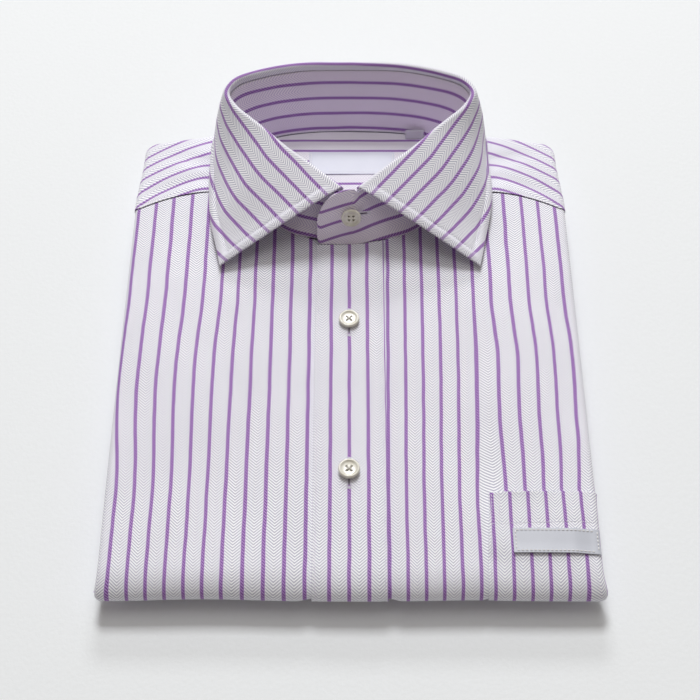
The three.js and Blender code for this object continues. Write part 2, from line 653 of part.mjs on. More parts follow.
function coreTube() {
  const inner = -LAYER - GAP / 2;
  const rings = coreStops().map(([stop, full]) => {
    const onTop = stop.out < Math.PI;
    const width = onTop ? widthAt(stop.y) : FLAT_HALF;
    const raise = onTop ? crownDrop(FLAT_HALF, stop.y) - crownDrop(width, stop.y) : 0;
    const lift = inner - (1 - full) * (SIDE_RADIUS - LAYER);
    const halfRing = (side) => {
      const flats = [0, PLACKET_STEP, PLACKET_STEP + STEP, 46, POCKET_STEP, POCKET_STEP + STEP, 100].map((across) => {
        const at = across * (width / FLAT_HALF);
        return clothPoint(side, at, stop, lift - sunk(at, side, stop));
      });
      const bends = steps(4).map((t) => {
        const p = clothPoint(side, FLAT_HALF + FOLD_ARC * t, stop, lift - sunk(FLAT_HALF, side, stop));
        return p.set(p.x - side * (FLAT_HALF - width), p.y, p.z + raise);
      });
      const last = bends.at(-1);
      const back = [0.9, 0.72, 0.5, 0.2].map((share) => {
        const level = crownDrop(width, stop.y) - crownDrop(width * share, stop.y);
        return new THREE.Vector3(side * width * share, last.y, last.z + (onTop ? level : 0));
      });
      return [...flats, ...bends, ...back];
    };
    return [...halfRing(1), ...halfRing(-1).slice(1).reverse()];
  });
  return loft(rings);
}

function foldedBundle() {
  const clear = PACKET + GAP;
  const high = (y) => topHeight(y) - crownDrop(FLAT_HALF, y) - clear;
  const low = (y) => underHeight(y) + clear + GAP;
  const sleeveMid = (y) => (high(y) + low(y)) / 2;
  const tucked = FLAT_HALF - TUCK - 1.5; // clear of the cloth turned in at the sides
  const pieces = [
    coreTube(),
    // Two sleeves, one on the other
    slab({ halfWidth: 120, from: -130, to: 137, low: (y) => sleeveMid(y) - 0.2, high, round: 5 }),
    slab({ halfWidth: 118, from: -128, to: 131, low, high: (y) => sleeveMid(y) + 0.2, round: 5 }),
    // The filling of the top packet and of the bottom one
    slab({
      halfWidth: tucked, from: ROLL_Y + 1, to: 126,
      low: sleeveMid, high: (y) => topHeight(y) - crownDrop(110, y) - 4, round: 2,
    }),
    slab({
      halfWidth: tucked, from: ROLL_Y + 1, to: TAIL_Y - 2,
      low: (y) => underHeight(y) + 4, high: sleeveMid, round: 2,
    }),
    // The fold that closes the bottom packet, and the cloth that leads into it
    slab({
      halfWidth: HALF_WIDTH, from: TAIL_Y + GAP, to: TAIL_Y + TAIL_FOLD,
      low: () => 0, high: () => PACKET, round: 4,
    }),
    slab({
      halfWidth: 100, from: TAIL_Y - 20, to: TAIL_Y + 5,
      low: () => 2 * LAYER + GAP, high: () => PACKET - 1.1, round: 1,
    }),
  ];
  return geometryFrom(wasm.Manifold.union(pieces.map(solidOf)).simplify(0.15));
}

// The scene
const shirt = new THREE.Group();
const collar = new THREE.Group();
collar.position.set(0, COLLAR.y, COLLAR.z);
shirt.add(collar);

function add(group, name, geometry, color, roughness = 0.85) {
  const mesh = new THREE.Mesh(geometry, new THREE.MeshStandardMaterial({ color, roughness, metalness: 0 }));
  mesh.name = name;
  group.add(mesh);
  return mesh;
}

add(shirt, "folded_bundle", foldedBundle(), STRIPE_TINT);
add(shirt, "right_front", front(-1), LILAC_WHITE);
add(shirt, "left_front", front(1), LILAC_WHITE);
add(shirt, "front_placket", placket(), STRIPE_TINT);
add(shirt, "chest_pocket", pocket(), STRIPE_TINT);
add(shirt, "pocket_label", pocketLabel(), LABEL_WHITE, 0.45);
add(shirt, "yoke", yoke(), LILAC_WHITE);
add(shirt, "yoke_lining", yokeLining(), LILAC_WHITE);
add(collar, "collar_stand", collarStand(), LILAC_WHITE);
add(collar, "collar_leaf", collarLeaf(), LILAC_WHITE);
add(collar, "neck_label", neckLabel(), LABEL_WHITE, 0.45);
add(collar, "size_tab", sizeTab(), LABEL_WHITE, 0.7);

// A button sits just off the cloth, its axis along the cloth's outward direction
function addButton(group, name, x, y, z, out) {
  const mesh = add(group, name, button(), PEARL, 0.25);
  mesh.position.set(x, y + GAP * Math.cos(out), z + GAP * Math.sin(out));
  mesh.rotation.x = out - Math.PI / 2;
}
const bandTilt = Math.atan(OVER_BAND.lean);
const bandFaceY = OVER_BAND.footY - STAND_CLOTH * Math.cos(bandTilt);
addButton(
  collar, "collar_button", BUTTON_X, bandFaceY + OVER_BAND.lean * COLLAR_BUTTON_Z - 0.6,
  COLLAR_BUTTON_Z, Math.PI - bandTilt,
);
[...FRONT_BUTTONS_Y.map(topStop), stopAt("roll", ROLL_BUTTON_OUT / Math.PI - 0.5)].forEach((stop, k) =>
  addButton(shirt, `front_button_${k + 1}`, BUTTON_X, stop.y, stop.z, stop.out),
);

export default shirt;
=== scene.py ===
# The looks of a long sleeve dress shirt with a spread collar, folded and lying face up.
# Sizes are in millimetres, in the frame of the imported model: +X the wearer's left, -Y the folded
# front edge, +Z up. Meshes are written in metres.
import math

import bpy
import numpy as np
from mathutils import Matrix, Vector


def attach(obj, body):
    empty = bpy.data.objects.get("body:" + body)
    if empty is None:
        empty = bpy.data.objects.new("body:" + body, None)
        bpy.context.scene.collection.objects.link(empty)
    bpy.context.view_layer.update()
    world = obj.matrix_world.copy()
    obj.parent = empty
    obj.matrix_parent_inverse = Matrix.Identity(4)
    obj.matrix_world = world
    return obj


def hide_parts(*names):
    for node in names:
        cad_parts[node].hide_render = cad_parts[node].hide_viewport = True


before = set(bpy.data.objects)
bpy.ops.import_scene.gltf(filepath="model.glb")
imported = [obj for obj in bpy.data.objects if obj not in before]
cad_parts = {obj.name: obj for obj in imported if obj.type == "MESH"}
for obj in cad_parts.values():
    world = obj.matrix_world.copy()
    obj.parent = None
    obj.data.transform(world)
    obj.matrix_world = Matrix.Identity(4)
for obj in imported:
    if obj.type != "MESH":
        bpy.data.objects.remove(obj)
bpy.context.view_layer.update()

MM = 0.001

# Cloth and seams, as in the CAD
LAYER = 1.5
GAP = 0.3
SHELL = 0.6  # one ply with its lining
SEWN = 1.1  # a folded and stitched edge, several plies

# The folded packet
HALF_WIDTH = 126.5
SIDE_RADIUS = 3.5
TUCK = 12
FLAT_HALF = HALF_WIDTH - SIDE_RADIUS
FOLD_ARC = math.pi * SIDE_RADIUS
PACKET = 2 * SIDE_RADIUS
CORNER_FLARE = 1.5
CORNER_REACH = 9
CROWN_FROM = 45
ROLL_RADIUS = 8.5
ROLL_REACH = 17.6  # how far ahead of its start the front roll's face lies
ROLL_Y = -142.6
ROLL_Z = 13
WAIST = (-15.5, 26)
CHEST = (80, 28)
SHOULDER_FROM = 100
SHOULDER_DROP = 0.00115
LANDING_Y = -118
TAIL_Y = 112
TAIL_FOLD = 9.5

# Seams and edges in plan
SEAM_NECK = 98.5
SEAM_SIDE = 86.5
SEAM_FROM = 84
SEAM_TO = 126
SEAM_POWER = 1.8
SHOULDER_MIDDLE = 155.5
SHOULDER_FALL = 14
SHOULDER_WIDTH = 122
SHOULDER_POWER = 1.3
SHOULDER_CORNER = 9
SHOULDER_TAPER = 2.6
NECK_EDGE = 60
FOOT_WIDEST = 63.6
LINING_INSET = 0.5
PLACKET_HALF = 19.2
PLACKET_STEP = PLACKET_HALF - 1
STEP = 9
POCKET_X = 71
POCKET_TOP = -105
POCKET_RISE = 2
POCKET_STEP = POCKET_X - 5.5
POCKET_END = -100

# The collar: its frame's origin, then foot of the stand, crest of the fold and outer edge of the
# leaf for each section from the middle of the back to the front
COLLAR = np.array([0, -15.5, 26])
FOLD_RADIUS = 2
STAND_DROP = 2.5
STAND_CLOTH = 1.4
FOOT = [
    (0, 165.5, 0), (24, 164.4, 0), (43, 160.6, 0), (54.5, 154, 0), (62, 144, 0), (63.5, 131, 0),
    (60.5, 117, 0), (56, 106, 0), (49, 95.5, 0), (34, 83, 0), (7, 75.4, 0),
]
CREST = [
    (0, 176.6, 46.2), (30, 175.6, 46.2), (54.8, 170.4, 45.2), (67.8, 164.7, 44), (72.4, 156, 42.8),
    (67.6, 146.4, 41.2), (57.8, 136.6, 40), (49, 128.3, 39), (40.1, 118.9, 38), (23.3, 103.5, 37),
    (5.3, 86.7, 36),
]
EDGE = [
    (0, 184.5, -1), (31, 183.5, -1), (59, 178.5, -1), (75, 169.5, 0), (81.4, 156, 1), (82.8, 138, 2.5),
    (83.6, 118, 4), (82.3, 101, 4.5), (79.8, 84, 4.5), (77, 70, 4.5), (74, 55.6, 4.5),
]
BULGE = (1.5, 1.5, 2, 2, 1.6, 1.8, 2.6, 3, 2.5, 2, 1)
BAND_LEAN = 0.28
OVER_BAND = {"from": 1.5, "to": -18.8, "foot": 75, "top": 37, "end": 14}
UNDER_END = 14
UNDER_STEP = 1.8
FOOT_LIFT = -0.3

# Labels and buttons
NECK_LABEL = {"x": 1.1, "width": 51, "front": 127.5, "back": 146}
SIZE_TAB = {"x": 39.1, "width": 11, "foot": (157.8, 0.6), "top": (160, 6)}
POCKET_LABEL = {"from": 82, "to": 125.7, "top": -125, "length": 14}
HOLE_RADIUS = 0.72
HOLE_SPREAD = 1.25
BUTTON_X = -0.5
FRONT_BUTTONS_Y = (4.2, -90.9)
COLLAR_BUTTON = (0.7, 20.6)

# The cloth's pattern
STRIPE_PITCH = 10
STRIPE_HALF = 1.0
TWILL_PITCH = 1.7

# The camera: 820 mm off, looking down by 54 degrees
CAMERA_AT = (0, -497.5, 689.4)
CAMERA_DOWN = math.radians(54)
LENS = 77.14


def clamp01(t):
    return np.clip(t, 0.0, 1.0)


def smooth(t):
    t = clamp01(t)
    return t * t * (3 - 2 * t)


def mix(a, b, t):
    return a + (b - a) * t


def unit(v):
    return v / np.maximum(np.linalg.norm(v, axis=-1, keepdims=True), 1e-9)


# Height of the top surface along the middle, as in the CAD
def top_height(y):
    y = np.asarray(y, float)
    roll_top = ROLL_Z + ROLL_RADIUS
    low = (WAIST[1] - roll_top) / (WAIST[0] - ROLL_Y)
    high = (CHEST[1] - WAIST[1]) / (CHEST[0] - WAIST[0])
    bend = (high - low) / (CHEST[0] - ROLL_Y)
    along = y - ROLL_Y
    behind = np.maximum(0, y - SHOULDER_FROM)
    return roll_top + low * along + bend * along * (y - WAIST[0]) - SHOULDER_DROP * behind**2


def crown_drop(off, y):
    deep = mix(0.6, 3.6, smooth((y - ROLL_Y - 10) / 270))
    return deep * clamp01((off - CROWN_FROM) / (FLAT_HALF - CROWN_FROM)) ** 2


def under_height(y):
    return (ROLL_Z - ROLL_RADIUS) * (1 - smooth((y - ROLL_Y) / (LANDING_Y - ROLL_Y)))


def surface_z(x, y):
    return top_height(y) - crown_drop(np.abs(x), y)


def seam_y(x):
    share = clamp01((np.abs(x) - SEAM_FROM) / (SEAM_TO - SEAM_FROM))
    return mix(SEAM_NECK, SEAM_SIDE, share**SEAM_POWER)


def shoulder_y(x):
    return SHOULDER_MIDDLE - SHOULDER_FALL * (np.abs(x) / SHOULDER_WIDTH) ** SHOULDER_POWER


# The line the fronts follow, over the top, round the front roll and along the underside, by the
# length along it: 0 where the roll begins, negative on top
def build_route():
    start = SHOULDER_FROM + 4
    t = np.linspace(0, 1, 400)
    y = mix(start, ROLL_Y, t)
    slope = (top_height(y + 0.5) - top_height(y - 0.5)) * (1 - smooth((t - 0.9) / 0.1))
    top = np.stack([y, top_height(y), np.arctan2(1, -slope)], 1)
    turn = math.pi * (0.5 + np.linspace(0, 1, 97)[1:])
    out = np.arctan2(np.sin(turn) / ROLL_RADIUS, np.cos(turn) / ROLL_REACH) % (2 * math.pi)
    roll = np.stack([ROLL_Y + ROLL_REACH * np.cos(turn), ROLL_Z + ROLL_RADIUS * np.sin(turn), out], 1)
    y = np.linspace(ROLL_Y, TAIL_Y, 400)[1:]
    slope = under_height(y + 0.5) - under_height(y - 0.5)
    under = np.stack([y, under_height(y), np.arctan2(-1, slope) + 2 * math.pi], 1)
    table = np.concatenate([top, roll, under])
    length = np.concatenate([[0], np.cumsum(np.linalg.norm(np.diff(table[:, :2], axis=0), axis=1))])
    return length - length[len(top) - 1], table, len(top)


ROUTE_S, ROUTE, TOP_COUNT = build_route()
ROUTE_END = ROUTE_S[-1]
ROLL_LENGTH = float(ROUTE_S[TOP_COUNT + 95])
ROLL_BUTTON_S = 0.86 * ROLL_LENGTH


def route(s):
    return tuple(np.interp(s, ROUTE_S, ROUTE[:, k]) for k in range(3))


def top_s(y):
    return np.interp(-np.asarray(y, float), -ROUTE[:TOP_COUNT, 0], ROUTE_S[:TOP_COUNT])


def under_s(y):
    under = slice(TOP_COUNT + 96, None)
    return np.interp(y, ROUTE[under, 0], ROUTE_S[under])


# A point of the fronts' outer face: across is measured along the cloth from the middle, round the
# side fold and into its tuck, and lift is the height above that face
def cloth_point(side, across, s, lift):
    y, z, out = route(s)
    front = np.exp(-(((y - ROLL_Y + ROLL_REACH) / CORNER_REACH) ** 2))
    edge = FLAT_HALF + (CORNER_FLARE + 0.5 * side) * front * smooth((across - 118) / 5)
    x = side * across
    wave = 1.3 * np.exp(-(((x + 72) / 34) ** 2)) + 0.7 * np.exp(-(((x - 60) / 30) ** 2))
    y = y + wave * front
    past = across > FLAT_HALF
    turn = np.clip((across - FLAT_HALF) / SIDE_RADIUS, 0, math.pi)
    tucked = np.maximum(0, across - FLAT_HALF - FOLD_ARC)
    round_x = edge + (SIDE_RADIUS + lift) * np.sin(turn) - tucked
    x = np.where(past, round_x, np.minimum(across, FLAT_HALF) * (edge / FLAT_HALF))
    depth = np.where(past, SIDE_RADIUS - (SIDE_RADIUS + lift) * np.cos(turn), -lift)
    depth = depth + crown_drop(np.minimum(across, FLAT_HALF), y) * (1 - smooth(out / math.pi - 0.5))
    return np.stack([side * x, y - depth * np.cos(out), z - depth * np.sin(out)], -1)


def pocket_sink(s):
    y, _, out = route(s)
    past_end = np.where(out > math.pi, (y - POCKET_END - 4) / 10, 0)
    return smooth((s + 12) / 20) * (1 - smooth(past_end))


# Soft creases in the fronts: middle x and y, direction in degrees, half length,
# half width and depth; a negative depth is a ridge
CREASES = [
    (-70, 62, 68, 26, 8, 1.9),
    (-52, 44, 74, 22, 6, -0.6),
    (-96, 70, 84, 24, 7, 0.7),
    (84, 66, 104, 26, 8, 1.9),
    (70, 40, 112, 24, 7, -0.5),
    (104, 40, 96, 28, 6, 0.6),
    (42, 30, 80, 34, 7, 0.5),
    (-34, -10, 96, 40, 8, 0.5),
    (60, -40, 84, 46, 9, 0.45),
    (-84, -56, 98, 44, 10, 0.5),
    (-62, -118, 80, 26, 12, 0.6),
    (36, -112, 94, 30, 9, 0.45),
    (100, -78, 88, 26, 8, 0.4),
    (-108, -104, 92, 30, 7, 0.4),
]


def crease_relief(x, y):
    total = np.zeros(np.broadcast(x, y).shape)
    for cx, cy, degrees, length, width, depth in CREASES:
        c, s = math.cos(math.radians(degrees)), math.sin(math.radians(degrees))
        along = (x - cx) * c + (y - cy) * s
        off = (y - cy) * c - (x - cx) * s
        total -= depth * np.exp(-((along / length) ** 2) - (off / width) ** 2)
    ripple = 0.16 * np.sin(x / 17 + 0.6 * np.sin(y / 31)) * np.sin(y / 43 + x / 90)
    return total + ripple


# How far the fronts sink under the placket and the pocket
def sunk(side, across, s):
    under_placket = LAYER * (1 - smooth((np.abs(across) - PLACKET_STEP) / STEP))
    beside = smooth((across - POCKET_STEP) / (POCKET_X - POCKET_STEP)) if side > 0 else 0
    return np.maximum(under_placket, LAYER * beside * pocket_sink(s))


# Relief only where the cloth lies on top, away from the placket and the folds
def front_relief(side, across, s):
    y, _, out = route(s)
    on_top = 1 - smooth((out / math.pi - 0.62) / 0.5)
    clear = smooth((across - PLACKET_HALF - 2) / 10) * (1 - smooth((across - FLAT_HALF + 12) / 12))
    return crease_relief(side * across, y) * on_top * clear


def front_surface(side):
    def at(across, s):
        lift = front_relief(side, across, s) - sunk(side, across, s)
        return cloth_point(side, across, s, lift)

    return at


# Stations from a to b, a step apart, closer at the ends that are named fine
EDGE_STEPS = (0.0, 0.07, 0.2, 0.42, 0.8)


def stations(a, b, step, fine_start=False, fine_end=False):
    sign = 1 if b > a else -1
    count = max(2, round(abs(b - a) / step))
    middle = list(np.linspace(a, b, count + 1))
    if fine_start:
        middle = [a + sign * e for e in EDGE_STEPS] + [m for m in middle if abs(m - a) > 1.2]
    if fine_end:
        middle = [m for m in middle if abs(m - b) > 1.2] + [b - sign * e for e in EDGE_STEPS[::-1]]
    return np.array(middle)


# Curves through the collar's sections: centripetal Catmull-Rom, as in the CAD
def section_curve(rows, t):
    p = np.array(rows, float)
    p = np.concatenate([[2 * p[0] - p[1]], p, [2 * p[-1] - p[-2]]])
    last = len(rows) - 1
    at = np.clip(np.asarray(t, float) * last, 0, last)
    i = np.minimum(at.astype(int), last - 1)
    f = (at - i)[..., None]
    p0, p1, p2, p3 = p[i], p[i + 1], p[i + 2], p[i + 3]

    def knot(a, b):
        return np.linalg.norm(a - b, axis=-1, keepdims=True) ** 0.5

    d0, d1, d2 = knot(p0, p1), knot(p1, p2), knot(p2, p3)
    m1 = ((p1 - p0) / d0 - (p2 - p0) / (d0 + d1) + (p2 - p1) / d1) * d1
    m2 = ((p2 - p1) / d1 - (p3 - p1) / (d1 + d2) + (p3 - p2) / d2) * d1
    return p1 + m1 * f + (3 * (p2 - p1) - 2 * m1 - m2) * f**2 + (2 * (p1 - p2) + m1 + m2) * f**3


# The neck seam in plan, on its front or its back half
NECK_RUNS = {
    "front": section_curve(FOOT, np.linspace(1, 0.5, 61)),
    "back": section_curve(FOOT, np.linspace(0, 0.5, 61)),
}


def neck_y(x, half):
    run = NECK_RUNS[half]
    order = np.maximum.accumulate(run[:, 0])
    return np.interp(np.abs(x), order, run[:, 1]) + COLLAR[1]


def front_top_y(x):
    off = np.abs(x)
    near = np.minimum(neck_y(off, "front"), seam_y(off))
    return np.where(off < NECK_EDGE, near, seam_y(off)) - GAP


# A named mesh from corner data: points in millimetres, quads, the pattern's map and the bake's map
def mesh_object(name, points, quads, cloth_uv=None, bake_uv=None, material=None):
    mesh = bpy.data.meshes.new(name)
    mesh.from_pydata((np.asarray(points) * MM).tolist(), [], np.asarray(quads).tolist())
    for layer, corners in (("cloth", cloth_uv), ("OFBake", bake_uv)):
        if corners is not None:
            mesh.uv_layers.new(name=layer).data.foreach_set("uv", np.asarray(corners, np.float32).ravel())
    mesh.validate()
    mesh.shade_smooth()
    mesh.set_sharp_from_angle(angle=math.radians(50))
    if material:
        mesh.materials.append(material)
    made = bpy.data.objects.new(name, mesh)
    bpy.context.scene.collection.objects.link(made)
    return made


def edge_distances(grid):
    """Distance of each point of the grid from its first and last row and column."""
    down = np.linalg.norm(np.diff(grid, axis=0), axis=2)
    over = np.linalg.norm(np.diff(grid, axis=1), axis=2)
    down = np.concatenate([np.zeros((1, grid.shape[1])), np.cumsum(down, 0)])
    over = np.concatenate([np.zeros((grid.shape[0], 1)), np.cumsum(over, 1)], 1)
    return down, down[-1:] - down, over, over[:, -1:] - over


def grid_quads(rows, columns, start=0, turned=False):
    a = (np.arange(rows - 1)[:, None] * columns + np.arange(columns - 1)).ravel() + start
    quads = np.stack([a, a + columns, a + columns + 1, a + 1], 1)
    return quads[:, ::-1] if turned else quads


# Parts of the bake's map that the face, the back and the rim of a shell take
FACE_FROM = 0.22
BACK_TO = 0.19


def shell(name, face, uv, thickness, material, side=1, rounded="", face_share=None, back_uv=None):
    """A closed thin shell. face is a grid of points and side the way its cloth lies from it: the
    normal of rows across columns times side points outwards. Rounded names the edges to soften:
    a and z the first and last row, l and r the first and last column."""
    rows, columns = face.shape[:2]
    normal = side * unit(np.cross(np.gradient(face, axis=0), np.gradient(face, axis=1)))
    drop = np.zeros((rows, columns))
    radius = 0.45 * thickness
    for key, distance in zip("azlr", edge_distances(face)):
        if key in rounded:
            inside = clamp01(1 - distance / radius)
            drop = np.maximum(drop, radius * (1 - np.sqrt(np.maximum(0, 1 - inside**2))))
    outer = face - normal * drop[..., None]
    inner = face - normal * (thickness - 0.6 * drop)[..., None]
    points = np.concatenate([outer.reshape(-1, 3), inner.reshape(-1, 3)])
    count = rows * columns
    front = grid_quads(rows, columns, 0, side < 0)
    back = grid_quads(rows, columns, count, side > 0)
    loop = np.concatenate([
        np.arange(columns - 1),
        np.arange(rows - 1) * columns + columns - 1,
        (rows - 1) * columns + np.arange(columns - 1, 0, -1),
        np.arange(rows - 1, 0, -1) * columns,
    ])
    nxt = np.roll(loop, -1)
    rim = np.stack([loop, nxt, nxt + count, loop + count], 1)
    rim = rim if side > 0 else rim[:, ::-1]
    quads = np.concatenate([front, back, rim])
    pattern = np.concatenate([uv.reshape(-1, 2), (uv if back_uv is None else back_uv).reshape(-1, 2)])
    face_from, back_to = (FACE_FROM, BACK_TO) if face_share is None else (1 - face_share, 0.97 - face_share)
    along = np.broadcast_to(np.linspace(0.004, 0.996, rows)[:, None], (rows, columns)).ravel()
    over = np.broadcast_to(np.linspace(0, 1, columns), (rows, columns)).ravel()
    bake = np.concatenate([
        np.stack([along, mix(face_from, 0.996, over)], 1),
        np.stack([along, mix(0.004, back_to, over)], 1),
    ])
    corners = bake[quads].copy()
    rim_along = np.linspace(0.004, 0.996, len(rim) + 1)
    rim_low, rim_high = back_to + 0.006, face_from - 0.006
    first = len(front) + len(back)
    low, high = (rim_low, rim_high)
    a, b = rim_along[:-1], rim_along[1:]
    strip = [(a, low), (b, low), (b, high), (a, high)]
    for k, (u, v) in enumerate(strip if side > 0 else strip[::-1]):
        corners[first:, k, 0] = u
        corners[first:, k, 1] = v
    return mesh_object(name, points, quads, pattern[quads], corners, material)


# Node materials: a small helper that links sockets and sets numbers
class Material:
    def __init__(self, name):
        self.made = bpy.data.materials.new(name)
        self.made.use_nodes = True
        self.tree = self.made.node_tree
        self.shader = self.tree.nodes["Principled BSDF"]

    def put(self, socket, value):
        if isinstance(value, bpy.types.NodeSocket):
            self.tree.links.new(value, socket)
        else:
            socket.default_value = value

    def node(self, kind, inputs=None, **settings):
        made = self.tree.nodes.new(kind)
        for key, value in settings.items():
            setattr(made, key, value)
        for key, value in (inputs or {}).items():
            self.put(made.inputs[key], value)
        return made

    def math(self, operation, *values, clamp=False):
        made = self.node("ShaderNodeMath", operation=operation, use_clamp=clamp)
        for socket, value in zip(made.inputs, values):
            self.put(socket, value)
        return made.outputs[0]

    def ramp(self, value, low, high):
        """0 below low, 1 above high, smooth between."""
        inputs = {"Value": value, "From Min": low, "From Max": high}
        return self.node("ShaderNodeMapRange", inputs, interpolation_type="SMOOTHSTEP").outputs[0]

    def blend(self, factor, first, second):
        made = self.node("ShaderNodeMix", data_type="RGBA")
        self.put(made.inputs[0], factor)
        self.put(made.inputs[6], (*first, 1) if isinstance(first, tuple) else first)
        self.put(made.inputs[7], (*second, 1) if isinstance(second, tuple) else second)
        return made.outputs[2]

    def noise(self, vector, scale, detail=2.0):
        inputs = {"Vector": vector, "Scale": scale, "Detail": detail}
        return self.node("ShaderNodeTexNoise", inputs).outputs[0]

    def wave(self, value, pitch):
        """From 0 to 1 and back over each pitch."""
        turned = self.math("MULTIPLY", value, 2 * math.pi / pitch)
        return self.math("MULTIPLY_ADD", self.math("SINE", turned), 0.5, 0.5)

    def cloth_map(self):
        """The pattern's map in millimetres: the vector, then across and along the warp."""
        vector = self.node("ShaderNodeUVMap", uv_map="cloth").outputs[0]
        split = self.node("ShaderNodeSeparateXYZ", {"Vector": vector})
        return vector, split.outputs[0], split.outputs[1]

    def finish(self, color, roughness, height=None, depth_mm=0.05, **constants):
        self.put(self.shader.inputs["Base Color"], color)
        self.put(self.shader.inputs["Roughness"], roughness)
        for key, value in constants.items():
            self.shader.inputs[key.replace("_", " ")].default_value = value
        if height is not None:
            bump = self.node("ShaderNodeBump", {"Height": height, "Distance": depth_mm * MM})
            self.put(self.shader.inputs["Normal"], bump.outputs[0])
        return self.made


CLOTH_WHITE = (0.965, 0.975, 1.0)
CLOTH_LILAC = (0.38, 0.36, 0.50)
STRIPE_LIGHT = (0.52, 0.30, 0.70)
STRIPE_DARK = (0.11, 0.03, 0.20)


def shirting(name, white, lilac):
    """White and pale lilac herringbone between purple stripes, the twill turning at each stripe."""
    m = Material(name)
    vector, across, along = m.cloth_map()
    wander = m.math("MULTIPLY_ADD", m.noise(vector, 0.045), 0.9, -0.45)
    across = m.math("ADD", across, wander)
    cell = m.math("FRACT", m.math("MULTIPLY_ADD", across, 1 / STRIPE_PITCH, 0.5))
    signed = m.math("MULTIPLY_ADD", cell, STRIPE_PITCH, -STRIPE_PITCH / 2)
    off = m.math("ABSOLUTE", signed)
    grain = m.noise(vector, 2.6, 3.0)
    jitter = m.math("MULTIPLY_ADD", grain, 0.3, along)
    chevron = m.wave(m.math("MULTIPLY_ADD", off, 0.95, jitter), TWILL_PITCH)
    rope = m.wave(m.math("MULTIPLY_ADD", signed, 1.1, jitter), TWILL_PITCH)
    edge = m.math("MULTIPLY_ADD", rope, -0.22, off)
    stripe = m.ramp(edge, STRIPE_HALF + 0.06, STRIPE_HALF - 0.28)
    tone = m.math("MULTIPLY", m.ramp(chevron, 0.35, 0.85), m.math("MULTIPLY_ADD", grain, 0.6, 0.5))
    ground = m.blend(tone, white, lilac)
    thread = m.blend(m.ramp(rope, 0.75, 0.1), STRIPE_LIGHT, STRIPE_DARK)
    broad = m.math("MULTIPLY_ADD", m.noise(vector, 0.02), 0.16, 0.92)
    # The pale attribute is painted highlight: it fades the stripes where the collar leaf's puffed front band catches
    # the light
    pale = m.node("ShaderNodeAttribute", attribute_name="pale").outputs["Fac"]
    stripe = m.math("MULTIPLY", stripe, m.math("MULTIPLY_ADD", pale, -0.22, 1.0))
    color = m.blend(stripe, ground, thread)
    shaded = m.node("ShaderNodeVectorMath", operation="SCALE")
    m.put(shaded.inputs[0], color)
    m.put(shaded.inputs["Scale"], broad)
    height = m.math("ADD", m.math("MULTIPLY", chevron, 0.7), m.math("MULTIPLY", grain, 0.5))
    rough = m.math("MULTIPLY_ADD", grain, 0.2, 0.62)
    return m.finish(
        shaded.outputs[0], rough, height, 0.05,
        Sheen_Weight=0.25, Sheen_Roughness=0.45, Specular_IOR_Level=0.3,
    )


def satin(name, light, dark, pitch=0.45):
    """Fine woven satin tape."""
    m = Material(name)
    vector, across, along = m.cloth_map()
    grain = m.noise(vector, 3.0, 3.0)
    rib = m.wave(m.math("MULTIPLY_ADD", across, 0.6, along), pitch)
    tone = m.math("MULTIPLY", m.math("ADD", rib, grain), 0.5)
    broad = m.noise(vector, 0.12)
    color = m.blend(m.math("MULTIPLY_ADD", broad, 0.4, m.math("MULTIPLY", tone, 0.6)), light, dark)
    rough = m.math("MULTIPLY_ADD", grain, 0.18, 0.36)
    return m.finish(color, rough, tone, 0.02, Sheen_Weight=0.2, Sheen_Roughness=0.3)


def thread(name, light, dark):
    """Twisted sewing thread."""
    m = Material(name)
    vector = m.node("ShaderNodeTexCoord").outputs["Object"]
    grain = m.noise(vector, 2200.0, 2.0)
    color = m.blend(grain, light, dark)
    rough = m.math("MULTIPLY_ADD", grain, 0.2, 0.5)
    return m.finish(color, rough, grain, 0.03, Sheen_Weight=0.2)


def button_shell():
    """Polished cream shell with faint cloudy layers."""
    m = Material("button_shell")
    vector = m.node("ShaderNodeTexCoord").outputs["Object"]
    cloud = m.noise(vector, 240.0, 3.0)
    fine = m.noise(vector, 900.0, 2.0)
    color = m.blend(m.ramp(cloud, 0.3, 0.75), (0.82, 0.80, 0.72), (0.66, 0.63, 0.53))
    rough = m.math("MULTIPLY_ADD", fine, 0.12, 0.16)
    return m.finish(color, rough, cloud, 0.02, Coat_Weight=0.35, Coat_Roughness=0.12, Subsurface_Weight=0.0)


def floor_paper():
    m = Material("pale_floor")
    vector = m.node("ShaderNodeTexCoord").outputs["Object"]
    fibre = m.noise(vector, 420.0, 4.0)
    color = m.blend(fibre, (0.855, 0.88, 0.895), (0.83, 0.855, 0.87))
    rough = m.math("MULTIPLY_ADD", fibre, 0.1, 0.78)
    return m.finish(color, rough, fibre, 0.12, Specular_IOR_Level=0.2)


SHIRTING = shirting("striped_herringbone", CLOTH_WHITE, CLOTH_LILAC)
# Copy of the shirting for the collar stand with a lilac-tinted, lighter ground: painted light, the lilac standing in
# for light bounced off the purple stripes inside the collar and the extra lightness making up for the stand's shade
BAND_CLOTH_PAINTED_LIGHT = shirting("collar_band_herringbone_painted_light", (0.98, 0.92, 1.0), (0.60, 0.52, 0.74))
# Lighter copy of the shirting for the inner yoke: painted light, brightening the cloth where the collar shades it
YOKE_CLOTH_PAINTED_LIGHT = shirting("inner_yoke_herringbone_painted_light", (0.99, 0.985, 1.0), (0.70, 0.67, 0.80))
